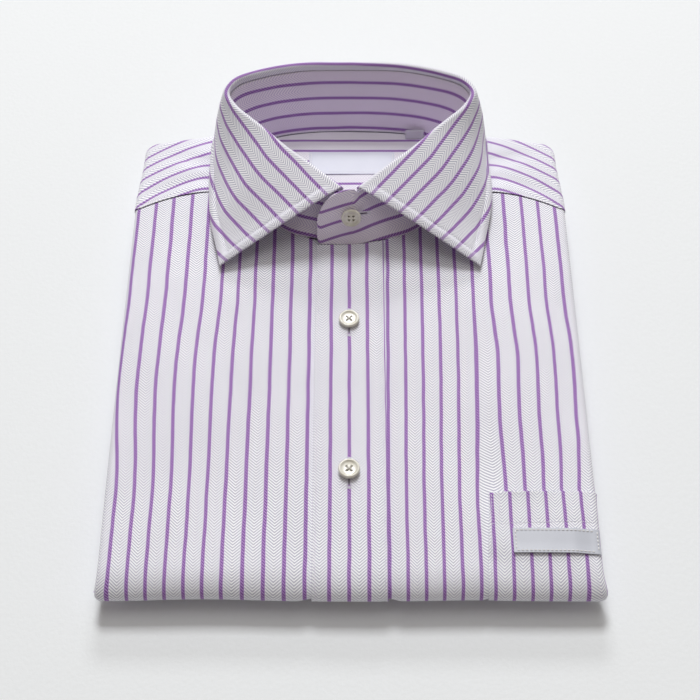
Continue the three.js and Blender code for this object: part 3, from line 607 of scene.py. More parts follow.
# The neck label's own pale satin, made lighter still as painted light where the collar shades it
NECK_SATIN_PAINTED_LIGHT = satin("neck_label_satin_painted_light", (0.80, 0.83, 0.90), (0.68, 0.71, 0.80))
POCKET_SATIN = satin("pocket_label_satin", (0.62, 0.64, 0.70), (0.50, 0.52, 0.585))
TAB_TAPE = satin("size_tab_tape", (0.72, 0.72, 0.76), (0.56, 0.56, 0.61), 0.6)
SEAM_THREAD = thread("seam_thread", (0.80, 0.78, 0.86), (0.62, 0.59, 0.70))
BORDER_THREAD = thread("label_border_thread", (0.97, 0.96, 0.95), (0.84, 0.83, 0.82))
BUTTON_THREAD = thread("button_thread", (0.78, 0.76, 0.70), (0.60, 0.58, 0.52))
# Painted shade: a near black strip standing in for the shadow inside the buttonhole slits, made with the thread's
# grain
SLIT_PAINTED_SHADE = thread("slit_shade", (0.10, 0.07, 0.13), (0.05, 0.035, 0.07))
SHELL_BUTTON = button_shell()

# Fronts
FRONT_STEP = 1.5
UNDER_STATION_STEP = 3.0


def front_grid(side):
    first = -14.0 if side < 0 else 14.3
    flat = stations(first, FLAT_HALF, 1.3)
    fold = FLAT_HALF + FOLD_ARC * np.linspace(0, 1, 15)[1:]
    tuck = FLAT_HALF + FOLD_ARC + TUCK * np.array([0.33, 0.66, 1.0])
    across = np.concatenate([flat, fold, tuck])
    chest_y = 40.0
    start = top_s(front_top_y(np.minimum(across, FLAT_HALF)))
    chest = top_s(chest_y)
    upper = start[:, None] + (chest - start[:, None]) * np.linspace(0, 1, 44)[None, :-1]
    rest = np.concatenate([
        np.arange(chest, -8, FRONT_STEP),
        np.linspace(-8, ROLL_LENGTH + 12, 42),
        np.arange(ROLL_LENGTH + 15, ROUTE_END, UNDER_STATION_STEP),
        [ROUTE_END],
    ])
    s = np.concatenate([upper, np.broadcast_to(rest, (len(across), len(rest)))], 1)
    return np.broadcast_to(across[:, None], s.shape), s


# Across the stripes of a front: they lie closer where the cloth is eased, and further apart over the
# fold that runs up from the pocket
def front_pattern(side, across, s):
    y = np.where(s < 0, route(s)[0], ROLL_Y)
    if side < 0:
        outer = mix(9.38, 10.15, smooth((y + 105) / 70))
        drawn = smooth((y + 25) / 50) * (2 * smooth((across - 45) / 30) - smooth((across - 88) / 20))
        near = (np.minimum(across, 64.3) - 22.5) / 1.042
        return near + np.maximum(0, across - 64.3) * 10 / outer + drawn
    inner = mix(9.08, 9.55, smooth((y + 125) / 115))
    first = 20.95 + 0.0105 * np.clip(y, -100, 40)
    outer = mix(9.9, 10.75, smooth((y + 105) / 40))
    eased = 2.1 * smooth((20 - y) / 40) + 3.6 * smooth((-55 - y) / 50) - 0.9
    near = (np.minimum(across, 66) - first) * 10 / inner
    pressed = 2 * smooth((across - 96) / 26)
    return near + (np.maximum(0, across - 66) - eased * smooth((across - 66) / 12)) * 10 / outer + pressed


def make_front(name, side, node):
    across, s = front_grid(side)
    uv = np.stack([side * front_pattern(side, across, s), -s], -1)
    made = shell(name, front_surface(side)(across, s), uv, SHELL, SHIRTING, side=-side)
    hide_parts(node)
    return made


right_front = make_front("right_front_cloth", -1, "right_front")
left_front = make_front("left_front_cloth", 1, "left_front")


# Placket: raised along its middle between the two rows of stitching
PLACKET_STITCH = PLACKET_HALF - 1.6


def placket_surface(x, s):
    off = np.abs(x)
    groove = -0.28 * np.exp(-(((off - PLACKET_STITCH) / 0.9) ** 2))
    pucker = 0.05 * np.sin(s * 2 * math.pi / 3.1) * np.exp(-(((off - PLACKET_STITCH) / 2.2) ** 2))
    y, _, out = route(s)
    on_top = 1 - smooth((out / math.pi - 0.62) / 0.5)
    wave = 0.28 * np.sin(s / 37 + x / 16) * on_top
    return cloth_point(1, x, s, groove + pucker + wave)


placket_x = stations(-PLACKET_HALF, PLACKET_HALF, 1.1, True, True)
band_y = OVER_BAND["foot"] + COLLAR[1]
placket_top = np.where(placket_x > 0, np.maximum(band_y, neck_y(placket_x, "front")), band_y)
placket_start = top_s(placket_top - STAND_CLOTH)
upper_s = placket_start[:, None] + (top_s(30) - placket_start[:, None]) * np.linspace(0, 1, 24)[None, :-1]
placket_s = np.concatenate([
    np.arange(top_s(30), -8, 1.4),
    np.linspace(-8, ROLL_LENGTH + 12, 42),
    np.arange(ROLL_LENGTH + 15, ROUTE_END, UNDER_STATION_STEP),
])
grid_s = np.concatenate([upper_s, np.broadcast_to(placket_s, (len(placket_x), len(placket_s)))], 1)
grid_x = np.broadcast_to(placket_x[:, None], grid_s.shape)
placket = shell(
    "placket_cloth", placket_surface(grid_x, grid_s), np.stack([grid_x + 0.35, -grid_s], -1), SEWN, SHIRTING,
    side=-1, rounded="az",
)
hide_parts("front_placket")


# Pocket: a hem along its top, turned edges and a reinforced corner
def pocket_top(across):
    return POCKET_TOP + POCKET_RISE * clamp01((across - POCKET_X) / 55)


POCKET_HEM = 17.5
POCKET_FIRST = 72.5
POCKET_PITCH = 9.2
POCKET_STITCH = 1.4
POCKET_LEAN = 2


def pocket_across_at(across, s):
    lean = POCKET_LEAN * smooth((s - top_s(POCKET_TOP)) / 45)
    return across - lean * (1 - smooth((across - POCKET_X) / 14))


def pocket_surface(across, s):
    beside = 1 - 0.25 * smooth((POCKET_X + 3 - across) / 3) - 0.88 * smooth((across - 112) / 11)
    lift = (LAYER + GAP) * (1 - pocket_sink(s)) * beside
    from_top = s - top_s(pocket_top(across))
    from_side = across - POCKET_X
    groove = np.exp(-(((from_side - POCKET_STITCH) / 0.8) ** 2))
    groove = groove + 0.8 * np.exp(-(((from_top - POCKET_HEM) / 0.9) ** 2))
    slump = 0.7 * np.exp(-(((from_top - 36 - 0.5 * from_side) / 5) ** 2) - (from_side / 9) ** 2)
    mouth = np.exp(-from_top / 4) * (0.7 + 0.5 * np.sin(from_side / 9))
    return cloth_point(1, pocket_across_at(across, s), s, lift - 0.3 * groove - slump + mouth)


pocket_across = np.concatenate([
    stations(POCKET_X, FLAT_HALF, 1.2, True), FLAT_HALF + FOLD_ARC * np.linspace(0, 0.8, 10)[1:],
])
pocket_end_s = under_s(POCKET_END)
pocket_t = np.concatenate([np.array(EDGE_STEPS) / 126, np.linspace(0.0125, 1, 88)])
grid_a = np.broadcast_to(pocket_across[:, None], (len(pocket_across), len(pocket_t)))
pocket_start = top_s(pocket_top(pocket_across))[:, None]
grid_s = pocket_start + (pocket_end_s - pocket_start) * pocket_t[None, :]
pocket = shell(
    "pocket_cloth",
    pocket_surface(grid_a, grid_s),
    np.stack([(pocket_across_at(grid_a, grid_s) - POCKET_FIRST) * 10 / POCKET_PITCH, -grid_s], -1),
    0.9,
    SHIRTING,
    side=-1, rounded="al",
)
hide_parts("chest_pocket")


def taper(y):
    return SHOULDER_TAPER * smooth((y - 88) / 40)


# Yoke: lines from the seam or the neck out to the shoulder edge, round it and tucked under
YOKE_DROP_FROM = 86


def yoke_pattern(x, y):
    """Across the stripes, which turn down towards the sides as the cloth rounds the shoulder."""
    start = YOKE_DROP_FROM - 0.2 * np.maximum(0, y - 110)
    off = np.maximum(0, np.abs(x) - start) / 40
    return y + 22.5 * off**1.5


def yoke_outline():
    r = SHOULDER_CORNER
    corner_x = HALF_WIDTH - r - SHOULDER_TAPER
    corner_y = float(shoulder_y(corner_x)) - r
    side_y = np.linspace(float(seam_y(FLAT_HALF)) + GAP, corner_y, 36)[:-1]
    rows = [(HALF_WIDTH - taper(y), y, 0.0) for y in side_y]
    turn = np.linspace(0, math.pi / 2, 16)
    rows += [(corner_x + r * math.cos(a), corner_y + r * math.sin(a), a) for a in turn]
    rows += [(x, float(shoulder_y(x)), math.pi / 2) for x in np.linspace(corner_x, 0, 80)[1:]]
    return np.array(rows)


def yoke_inner(count):
    seam_rows = 48
    seam_x = np.linspace(FLAT_HALF - 1, FOOT_WIDEST, seam_rows)
    seam = np.stack([seam_x, seam_y(seam_x) + GAP], 1)
    neck = section_curve(FOOT, 0.5 * (1 - np.linspace(0, 1, count - seam_rows + 1)[1:]))
    return np.concatenate([seam, neck[:, :2] + [0, COLLAR[1]]])


YOKE_CREASES = [
    (-88, 124, 168, 16, 5, 1.5), (-100, 106, 22, 18, 4, 1.0), (90, 126, 14, 16, 5, 1.5),
    (102, 106, 158, 18, 4, 1.0), (-78, 108, 175, 12, 4, 1.3), (76, 108, 5, 12, 4, 1.3),
]


def yoke_relief(x, y):
    total = np.zeros(np.shape(x))
    for cx, cy, degrees, length, width, depth in YOKE_CREASES:
        c, s = math.cos(math.radians(degrees)), math.sin(math.radians(degrees))
        along = (x - cx) * c + (y - cy) * s
        off = (y - cy) * c - (x - cx) * s
        total -= depth * np.exp(-((along / length) ** 2) - (off / width) ** 2)
    from_seam = y - seam_y(x) - GAP
    return total - 0.22 * np.exp(-(((from_seam - 1.6) / 0.8) ** 2))


def make_yoke():
    half = yoke_outline()
    inner = yoke_inner(len(half))
    lines = np.concatenate([half, (half * [-1, 1, 1])[:-1][::-1]])
    inner = np.concatenate([inner, (inner * [-1, 1])[:-1][::-1]])
    side = np.concatenate([np.ones(len(half)), -np.ones(len(half) - 1)])
    direction = np.stack([side * np.cos(lines[:, 2]), np.sin(lines[:, 2])], 1)
    rim = lines[:, :2] - SIDE_RADIUS * direction
    start = inner.copy()
    start[:, 0] = np.where(np.abs(inner[:, 0]) > np.abs(rim[:, 0]), rim[:, 0], inner[:, 0])
    share = np.concatenate([np.array(EDGE_STEPS) / 40, np.linspace(0.035, 1, 30)])
    flat = start[:, None] + (rim - start)[:, None] * share[None, :, None]
    x, y = flat[..., 0], flat[..., 1]
    calm = smooth((1 - share) / 0.2)[None, :]
    z = surface_z(x, y) + yoke_relief(x, y) * calm
    turn = np.linspace(0, math.pi, 15)[1:]
    crest = surface_z(rim[:, 0], rim[:, 1])
    bend = rim[:, None] + direction[:, None] * (SIDE_RADIUS * np.sin(turn))[None, :, None]
    bend_z = crest[:, None] - SIDE_RADIUS * (1 - np.cos(turn))[None, :]
    tuck = SHOULDER_CORNER * 0.33 * np.array([0.5, 1.0])
    tucked = rim[:, None] - direction[:, None] * tuck[None, :, None]
    tucked_z = np.broadcast_to(crest[:, None] - PACKET, tucked.shape[:2])
    plan = np.concatenate([flat, bend, tucked], 1)
    face = np.concatenate([plan, np.concatenate([z, bend_z, tucked_z], 1)[..., None]], 2)
    opened = np.concatenate([
        flat,
        rim[:, None] + direction[:, None] * (SIDE_RADIUS * turn)[None, :, None],
        rim[:, None] + direction[:, None] * (FOLD_ARC + tuck)[None, :, None],
    ], 1)
    uv = np.stack([yoke_pattern(opened[..., 0], opened[..., 1]) - 1.0, opened[..., 0]], -1)
    return shell("yoke_cloth", face, uv, SHELL, SHIRTING, side=1, rounded="l")


yoke = make_yoke()
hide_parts("yoke")


# Inner yoke, seen through the neck
def lining_surface(x, y):
    return np.stack([x, y, surface_z(x, y) - 0.1 + 0.15 * np.sin(x / 9) * np.sin(y / 14)], -1)


lining_t = np.linspace(0, 1, 80)
lining_u = np.linspace(0, 1, 56)
lining_x = (FOOT_WIDEST - 2.8) * np.sin(math.pi * (lining_t - 0.5))
near = neck_y(lining_x, "front") + LINING_INSET
far = neck_y(lining_x, "back") - LINING_INSET
grid_y = near[:, None] + (far - near)[:, None] * lining_u[None, :]
grid_x = np.broadcast_to(lining_x[:, None], grid_y.shape)
# Made in the lighter copy of the shirting, as painted light for the collar's shade
lining = shell(
    "inner_yoke_cloth",
    lining_surface(grid_x, grid_y),
    np.stack([(grid_y - 141.3) / 0.915, grid_x], -1),
    SHELL,
    YOKE_CLOTH_PAINTED_LIGHT, side=1,
)
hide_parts("yoke_lining")


# Collar leaf: t from 0 at the middle of the back to 1 at the front edge; w from -1 to 0 up from the
# seam, to 1 round the fold and to 2 down to the outer edge
def leaf_surface(t, w, mirror=1):
    t, w = np.broadcast_arrays(np.asarray(t, float), np.asarray(w, float))
    crest, edge = section_curve(CREST, t), section_curve(EDGE, t)
    out = unit((edge - crest) * [1, 1, 0])
    up = np.array([0, 0, 1.0])
    centre = crest - up * FOLD_RADIUS
    fall = edge - centre
    slope = np.arctan2(np.hypot(fall[..., 0], fall[..., 1]), -fall[..., 2])
    turn = mix(math.pi, slope + 0.12, clamp01(w))[..., None]
    arc = centre + FOLD_RADIUS * (out * np.cos(turn) + up * np.sin(turn))
    leg = np.clip(-w, 0, 1)[..., None] * (STAND_DROP - GAP)
    s = np.clip(w - 1, 0, 1)[..., None]
    normal = out * np.cos(slope)[..., None] + up * np.sin(slope)[..., None]
    bulge = np.interp(t * (len(BULGE) - 1), np.arange(len(BULGE)), BULGE)[..., None]
    point = arc - up * leg + (edge - arc) * s + normal * bulge * 4 * s * (1 - s) * (1 - 0.35 * s)
    length = np.linalg.norm(edge - arc, axis=-1)
    off = FOLD_RADIUS * (math.pi / 2 - turn[..., 0]) - leg[..., 0] + np.clip(w - 1, 0, 1) * length
    return point * [mirror, 1, 1] + COLLAR, off


def distance_to(points, line):
    """Distance of each point from the nearest of the line's points, the line finely divided."""
    best = np.full(points.shape[:-1], 1e9)
    for p in line:
        best = np.minimum(best, np.linalg.norm(points - p, axis=-1))
    return best


LEAF_STITCH = 6.0


# How far below the crest the leaf's first stripe lies, at eleven even steps from the middle of the
# back to the front edge, on the two sides
LEAF_STRIPES = {
    -1: (-10.6, -10.1, -9.8, -9.9, -9.4, -7.2, -4.2, -1.3, 1.4, 4.9, 8.7),
    1: (-10.6, -11.6, -12.0, -11.6, -10.4, -8.2, -5.1, -2.2, 0.5, 4.0, 7.8),
}
LEAF_PITCH = {-1: 9.7, 1: 9.4}


def leaf_pattern(side, t, off):
    rows = [(10 * k, below) for k, below in enumerate(LEAF_STRIPES[side])]
    pitch = mix(9.55, LEAF_PITCH[side], smooth(t / 0.2))
    return (off - section_curve(rows, t)[..., 1]) * 10 / pitch


def leaf_relief(face, front_edge, outer_edge, w):
    inward = np.minimum(distance_to(face, front_edge), distance_to(face, outer_edge))
    band = clamp01(1 - np.abs(inward - 3.0) / 3.0)
    puff = 0.95 * np.sqrt(band) * (inward < LEAF_STITCH)
    groove = -0.4 * np.exp(-(((inward - LEAF_STITCH) / 0.8) ** 2))
    return (puff + groove) * smooth((w - 1.02) / 0.1)


def make_leaf():
    half_t = np.concatenate([np.linspace(0, 0.985, 210), 1 - np.array(EDGE_STEPS[::-1]) / 190])
    w = np.concatenate([
        np.linspace(-1, 0, 4)[:-1], np.linspace(0, 1, 14)[:-1], np.linspace(1, 1.975, 62),
        2 - np.array(EDGE_STEPS[::-1]) / 52,
    ])
    grid_t, grid_w = np.meshgrid(half_t, w, indexing="ij")
    sides = []
    painted_highlights = []
    for mirror in (-1, 1):
        face, off = leaf_surface(grid_t, grid_w, mirror)
        front_edge = leaf_surface(1.0, np.linspace(0.3, 2, 160), mirror)[0]
        outer_edge = leaf_surface(np.linspace(0, 1, 420), 2.0, mirror)[0]
        along = np.concatenate([[0], np.cumsum(np.linalg.norm(np.diff(face[:, 17], axis=0), axis=1))])
        along = mirror * np.broadcast_to(along[:, None], off.shape)
        uv = np.stack([leaf_pattern(mirror, grid_t, off), along], -1)
        normal = mirror * unit(np.cross(np.gradient(face, axis=0), np.gradient(face, axis=1)))
        relief = leaf_relief(face, front_edge, outer_edge, grid_w)
        from_front = distance_to(face, front_edge)
        # Painted highlight: the stripes drawn paler along the puffed band inside the leaf's front edge, where it
        # catches the light
        painted_highlights.append(smooth((LEAF_STITCH + 0.4 - from_front) / 0.8) * smooth(grid_w))
        sway = 0.5 * np.sin(grid_t * 19 + mirror) * np.sin((grid_w - 1) * 2.2) * smooth((grid_w - 1) / 0.5)
        calm = 1 - smooth((grid_t - 0.9) / 0.1)
        face = face + normal * (relief + sway * calm)[..., None]
        sides.append((face, uv))
    (left, left_uv), (right, right_uv) = sides
    face = np.concatenate([left[1:][::-1], right])
    uv = np.concatenate([left_uv[1:][::-1], right_uv])
    made = shell("collar_leaf_cloth", face, uv, SEWN, SHIRTING, side=1, rounded="azr")
    # The painted highlight goes to the material as the pale attribute
    levels = np.concatenate([np.concatenate([painted_highlights[0][1:][::-1], painted_highlights[1]]).ravel()] * 2)
    made.data.attributes.new("pale", "FLOAT", "POINT").data.foreach_set("value", levels.astype(np.float32))
    return made


leaf = make_leaf()
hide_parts("collar_leaf")


# Points of the leaf the stitching's distance in from its front edge and from its outer edge
def leaf_seam_lines(mirror):
    t, w = np.linspace(0.1, 1, 260), np.linspace(1.02, 2, 90)
    grid_t, grid_w = np.meshgrid(t, w, indexing="ij")
    face, _ = leaf_surface(grid_t, grid_w, mirror)
    normal = mirror * unit(np.cross(np.gradient(face, axis=0), np.gradient(face, axis=1)))
    to_front = distance_to(face, leaf_surface(1.0, np.linspace(0.3, 2, 160), mirror)[0])
    to_outer = distance_to(face, leaf_surface(np.linspace(0, 1, 420), 2.0, mirror)[0])
    front = [(np.argmax(to_front[:, j] < LEAF_STITCH), j) for j in range(len(w))]
    front = [(i, j) for i, j in front if to_outer[i, j] > LEAF_STITCH]
    outer = [(i, np.argmax(to_outer[i] < LEAF_STITCH)) for i in range(len(t))]
    outer = [(i, j) for i, j in outer if to_front[i, j] > LEAF_STITCH]
    lines = []
    for run in (front, outer):
        i, j = np.array(run).T
        line, up = face[i, j].copy(), normal[i, j]
        for _ in range(6):
            line[1:-1] = (line[:-2] + 2 * line[1:-1] + line[2:]) / 4
        lines.append((line - 0.2 * up, up))
    return lines


# Collar stand: foot and top of its inner face, under end first, then round the neck to the over end
def stand_lines():
    lines = []

    def band(x, foot_y, top, rise=0.0):
        foot_z = float(surface_z(x, foot_y + COLLAR[1])) - COLLAR[2] + FOOT_LIFT
        foot_z += rise
        y = foot_y + BAND_LEAN * rise
        return [(x, y, foot_z), (x, y + BAND_LEAN * (top - foot_z), top)]

    t = np.linspace(0, 1, 200)
    foot = section_curve(FOOT, t)
    foot[:, 2] = surface_z(foot[:, 0], foot[:, 1] + COLLAR[1]) - COLLAR[2] + FOOT_LIFT
    top = leaf_surface(t, -1.0)[0] - COLLAR
    lean = np.hypot(*(top - foot)[:, :2].T) / (top - foot)[:, 2]
    share = (GAP + lean * STAND_CLOTH) / np.linalg.norm(top - foot, axis=1)
    top = mix(top, foot, share[:, None])
    behind = UNDER_STEP * smooth((t - 0.9) / 0.1)
    for k in np.flatnonzero((foot[:, 0] < UNDER_END) & (t > 0.9)):
        corner = clamp01((foot[k, 0] - UNDER_END + 5) / 5) ** 2
        high = mix(top[k], foot[k], 0.02 + 0.14 * corner)
        lines.append([foot[k] + [0, UNDER_STEP, 0], high + [0, UNDER_STEP, 0]])
    near, far = np.array(lines[-1]), np.array(lines[-1]) * [-1, 1, 1]
    lines += [mix(near, far, share) for share in np.linspace(0, 1, 8)[1:-1]]
    for k in range(len(t) - 1, 0, -1):
        (fx, fy, fz), (tx, ty, tz) = foot[k], top[k]
        lines.append([(-fx, fy + behind[k], fz), (-tx, ty + behind[k], tz - 0.3 * behind[k])])
    lines += [[foot[k], top[k]] for k in range(len(t))]
    for s in np.concatenate([np.linspace(0, 0.97, 30), [0.985, 0.995, 1.0]]):
        x = mix(OVER_BAND["from"], OVER_BAND["to"], s)
        arc = math.sqrt(max(0.0, 1 - s**2))
        corner = clamp01((s - 0.86) / 0.14)
        rise = 4.0 * (1 - math.sqrt(max(0.0, 1 - corner**2)))
        lines.append(band(x, OVER_BAND["foot"], mix(OVER_BAND["end"], OVER_BAND["top"], arc), rise))
    return np.array(lines)


def make_stand():
    lines = stand_lines()
    edge = np.array(EDGE_STEPS) / 38
    share = np.concatenate([edge, np.linspace(0.04, 0.97, 30), 1 - edge[::-1]])
    face = lines[:, :1] + (lines[:, 1:] - lines[:, :1]) * share[None, :, None] + COLLAR
    height = np.linalg.norm(face - face[:, :1], axis=2)
    middle = face[:, len(share) // 2]
    along = np.concatenate([[0], np.cumsum(np.linalg.norm(np.diff(middle, axis=0), axis=1))])
    x = middle[:, 0]
    at_end = np.abs(along - along.mean()) / along.mean()
    front_part = at_end > 0.5
    signed = np.where(along > along.mean(), x, -x)
    slant = 10.5 * np.clip((22 - signed) / 40, 0, 1.2) ** 1.7
    inner_u = (height - 3.0) / 1.06
    outer_u = height - (11.6 - (slant * front_part))[:, None]
    over = np.broadcast_to(along[:, None], height.shape)
    # The stand wears the lilac, lightened copy of the shirting: painted light
    return shell(
        "collar_stand_cloth", face, np.stack([inner_u, over], -1), STAND_CLOTH, BAND_CLOTH_PAINTED_LIGHT, side=1,
        rounded="azlr", face_share=0.5, back_uv=np.stack([outer_u, over], -1),
    )


stand = make_stand()
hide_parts("collar_stand")

# Hidden layers between the packets: flat closed folds of cloth, one on the other
def width_at(y):
    """Half the width that the yoke leaves the layers, towards the shoulder edge."""
    inset = SIDE_RADIUS + GAP
    share = np.maximum(0, (SHOULDER_MIDDLE - inset - y) / SHOULDER_FALL)
    edge = SHOULDER_WIDTH * share ** (1 / SHOULDER_POWER)
    corner_from = float(shoulder_y(HALF_WIDTH - SHOULDER_CORNER)) - SHOULDER_CORNER
    past = np.maximum(0, y + inset - corner_from)
    corner = HALF_WIDTH - SHOULDER_CORNER + np.sqrt(np.maximum(0, SHOULDER_CORNER**2 - past**2))
    return np.minimum(FLAT_HALF, np.minimum(edge - inset, corner - inset)) - taper(y)


LAYER_BEND = 8  # steps round each folded edge
LAYER_FLAT = 14  # steps across the flat


def layer_mesh(y_from, y_to, half_width, low, high, seed):
    """Points, quads and pattern map of one flat closed fold, its edges a little uneven."""
    ends = np.array([0.0, 0.06, 0.2, 0.45, 0.75, 1.0])
    bend = 2.2
    y = np.concatenate([
        y_from + bend * ends, np.linspace(y_from, y_to, 46)[2:-2], y_to - bend * ends[::-1],
    ])
    full = np.sqrt(1 - (1 - clamp01(np.minimum(y - y_from, y_to - y) / bend)) ** 2)
    waver = 0.5 * np.sin(y / 23 + seed) + 0.3 * np.sin(y / 9.5 + 2 * seed)
    width = half_width(y) - bend * (1 - full) + waver - 0.8
    down, up = low(y), high(y)
    middle, half = (down + up) / 2, (up - down) / 2 * mix(0.12, 1, full)
    turn = np.linspace(-math.pi / 2, math.pi / 2, LAYER_BEND + 1)
    flat = np.linspace(-1, 1, LAYER_FLAT + 1)[1:-1]
    inner = width - half
    right = np.stack([inner[:, None] + half[:, None] * np.cos(turn), half[:, None] * np.sin(turn)], -1)
    top = np.stack([-flat * inner[:, None], np.broadcast_to(half[:, None], (len(y), len(flat)))], -1)
    ring = np.concatenate([right, top, -right, -top], 1)
    count = ring.shape[1]
    points = np.stack([
        ring[..., 0], np.broadcast_to(y[:, None], ring.shape[:2]), middle[:, None] + ring[..., 1],
    ], -1)
    a = (np.arange(len(y) - 1)[:, None] * count + np.arange(count)).ravel()
    b = (np.arange(len(y) - 1)[:, None] * count + (np.arange(count) + 1) % count).ravel()
    quads = [np.stack([a, b, b + count, a + count], 1)]
    for row, turned in ((0, False), (len(y) - 1, True)):
        k = np.arange(count // 2 - 1)
        cap = np.stack([k, (-k - 1) % count, (-k - 2) % count, k + 1], 1) + row * count
        quads.append(cap[:, ::-1] if turned else cap)
    around = np.concatenate([[0], np.cumsum(np.linalg.norm(np.diff(ring[len(y) // 2], axis=0), axis=1))])
    uv = np.stack(np.broadcast_arrays(around[None, :] + 3.7 * seed, y[:, None]), -1)
    return points.reshape(-1, 3), np.concatenate(quads), uv.reshape(-1, 2)


def joined(parts):
    """Several meshes' points, quads and maps as one."""
    counts = np.cumsum([0] + [len(p) for p, _, _ in parts])
    points = np.concatenate([p for p, _, _ in parts])
    quads = np.concatenate([q + counts[k] for k, (_, q, _) in enumerate(parts)])
    return points, quads, np.concatenate([uv for _, _, uv in parts])


def constant(value):
    return lambda y: np.full(np.shape(y), float(value))


def sleeves_high(y):
    return top_height(y) - crown_drop(FLAT_HALF, y) - PACKET - GAP


def sleeves_low(y):
    return under_height(y) + PACKET + 2 * GAP


def between(share):
    return lambda y: mix(sleeves_low(y), sleeves_high(y), share)


SLEEVE_LAYERS = 4
SLEEVE_WIDTHS = (118.6, 117.4, 120.2, 119.4)
SLEEVE_FROM = (-128, -126.5, -130, -129)
SLEEVE_TO = (131, 129, 137, 134.5)


def make_layers():
    parts = [
        layer_mesh(
            ROLL_Y + 2, 149, lambda y: width_at(y) - 1.2,
            lambda y: surface_z(90, y) - 6.0, lambda y: surface_z(FLAT_HALF, y) - 1.9, 1,
        ),
        layer_mesh(
            ROLL_Y + 2, TAIL_Y - 3, constant(FLAT_HALF - 2), lambda y: under_height(y) + 1.0,
            lambda y: under_height(y) + 6.2, 2,
        ),
        layer_mesh(TAIL_Y + GAP, TAIL_Y + TAIL_FOLD, constant(HALF_WIDTH), constant(0.1), constant(PACKET), 3),
    ]
    for k in range(SLEEVE_LAYERS):
        low, high = between((k + 0.02) / SLEEVE_LAYERS), between((k + 0.98) / SLEEVE_LAYERS)
        parts.append(layer_mesh(SLEEVE_FROM[k], SLEEVE_TO[k], constant(SLEEVE_WIDTHS[k]), low, high, 4 + k))
    points, quads, uv = joined(parts)
    return mesh_object("folded_layers", points, quads, uv[quads], None, SHIRTING)


layers = make_layers()
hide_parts("folded_bundle")


# Stitches and threads: short rounded bars on the cloth, all of a seam in one mesh
BAR_STATIONS = np.array([0, 0.12, 0.5, 0.88, 1])
BAR_SIZES = np.array([0.4, 0.85, 1, 0.85, 0.4])
BAR_TURNS = np.arange(6) * math.pi / 3


def bars(name, start, end, up, radius, material, arch=0.06):
    axis = unit(end - start)
    across = unit(np.cross(up, axis))
    up = np.cross(axis, across)
    lift = (arch * 4 * BAR_STATIONS * (1 - BAR_STATIONS))[None, :, None]
    centre = start[:, None] + (end - start)[:, None] * BAR_STATIONS[None, :, None] + up[:, None] * lift
    around = across[:, None] * np.cos(BAR_TURNS)[:, None] + up[:, None] * np.sin(BAR_TURNS)[:, None]
    points = centre[:, :, None] + around[:, None] * (radius * BAR_SIZES)[None, :, None, None]
    sides, rings = len(BAR_TURNS), len(BAR_STATIONS)
    quads = []
    for r in range(rings - 1):
        for k in range(sides):
            a, b = r * sides + k, r * sides + (k + 1) % sides
            quads.append((a, b, b + sides, a + sides))
    last = (rings - 1) * sides
    quads += [(3, 2, 1, 0), (5, 4, 3, 0)]
    quads += [(last, last + 1, last + 2, last + 3), (last, last + 3, last + 4, last + 5)]
    one = np.array(quads)
    every = (one[None] + (np.arange(len(start)) * sides * rings)[:, None, None]).reshape(-1, 4)
    return mesh_object(name, points.reshape(-1, 3), every, material=material)


STITCH_PITCH = 2.0
STITCH_LENGTH = 1.45
STITCH_RADIUS = 0.2


def stitch_spans(line, up, pitch=STITCH_PITCH, length=STITCH_LENGTH):
    """Start, end and up of each stitch along a line of points."""
    at = np.concatenate([[0], np.cumsum(np.linalg.norm(np.diff(line, axis=0), axis=1))])
    centres = np.arange(pitch / 2, at[-1] - pitch / 4, pitch)

    def read(values, s):
        return np.stack([np.interp(s, at, values[:, k]) for k in range(3)], -1)

    return read(line, centres - length / 2), read(line, centres + length / 2), unit(read(up, centres))


def stitches(name, lines, material=None, radius=STITCH_RADIUS, **sizes):
    spans = [stitch_spans(line, up, **sizes) for line, up in lines]
    start, end, up = (np.concatenate([s[k] for s in spans]) for k in range(3))
    return bars(name, start, end, up, radius, material or SEAM_THREAD)


def surface_line(surface, u, v, outward=1):
    """Points of a surface along u and v, with the surface's normal at each."""
    u, v = np.broadcast_arrays(np.asarray(u, float), np.asarray(v, float))
    here = surface(u, v)
    normal = np.cross(surface(u + 0.05, v) - here, surface(u, v + 0.05) - here)
    return here + 0.1 * outward * unit(normal), outward * unit(normal)


placket_run = np.arange(placket_start.max() + 1, ROLL_LENGTH + 60, 0.95)
placket_seams = stitches("placket_stitches", [
    surface_line(placket_surface, side * PLACKET_STITCH, placket_run, -1) for side in (-1, 1)
])

pocket_top_s = float(top_s(POCKET_TOP))
pocket_seams = stitches("pocket_stitches", [
    surface_line(pocket_surface, POCKET_X + POCKET_STITCH, np.arange(pocket_top_s + 0.6, pocket_top_s + 90, 0.9), -1),
    surface_line(pocket_surface, POCKET_X + 5.2, np.arange(pocket_top_s + 0.6, pocket_top_s + POCKET_HEM, 0.9), -1),
    surface_line(
        pocket_surface, np.arange(POCKET_X + 1, FLAT_HALF + 6, 0.9),
        top_s(pocket_top(np.arange(POCKET_X + 1, FLAT_HALF + 6, 0.9))) + POCKET_HEM, -1,
    ),
])


def yoke_top(x, y):
    return np.stack([x, y, surface_z(x, y) + yoke_relief(x, y) + 0.03], -1)


leaf_seams = stitches("leaf_stitches", leaf_seam_lines(-1) + leaf_seam_lines(1))
yoke_seams = stitches("yoke_stitches", [
    surface_line(yoke_top, side * np.arange(64, 121, 0.9), seam_y(np.arange(64, 121, 0.9)) + GAP + 1.6)
    for side in (-1, 1)
])


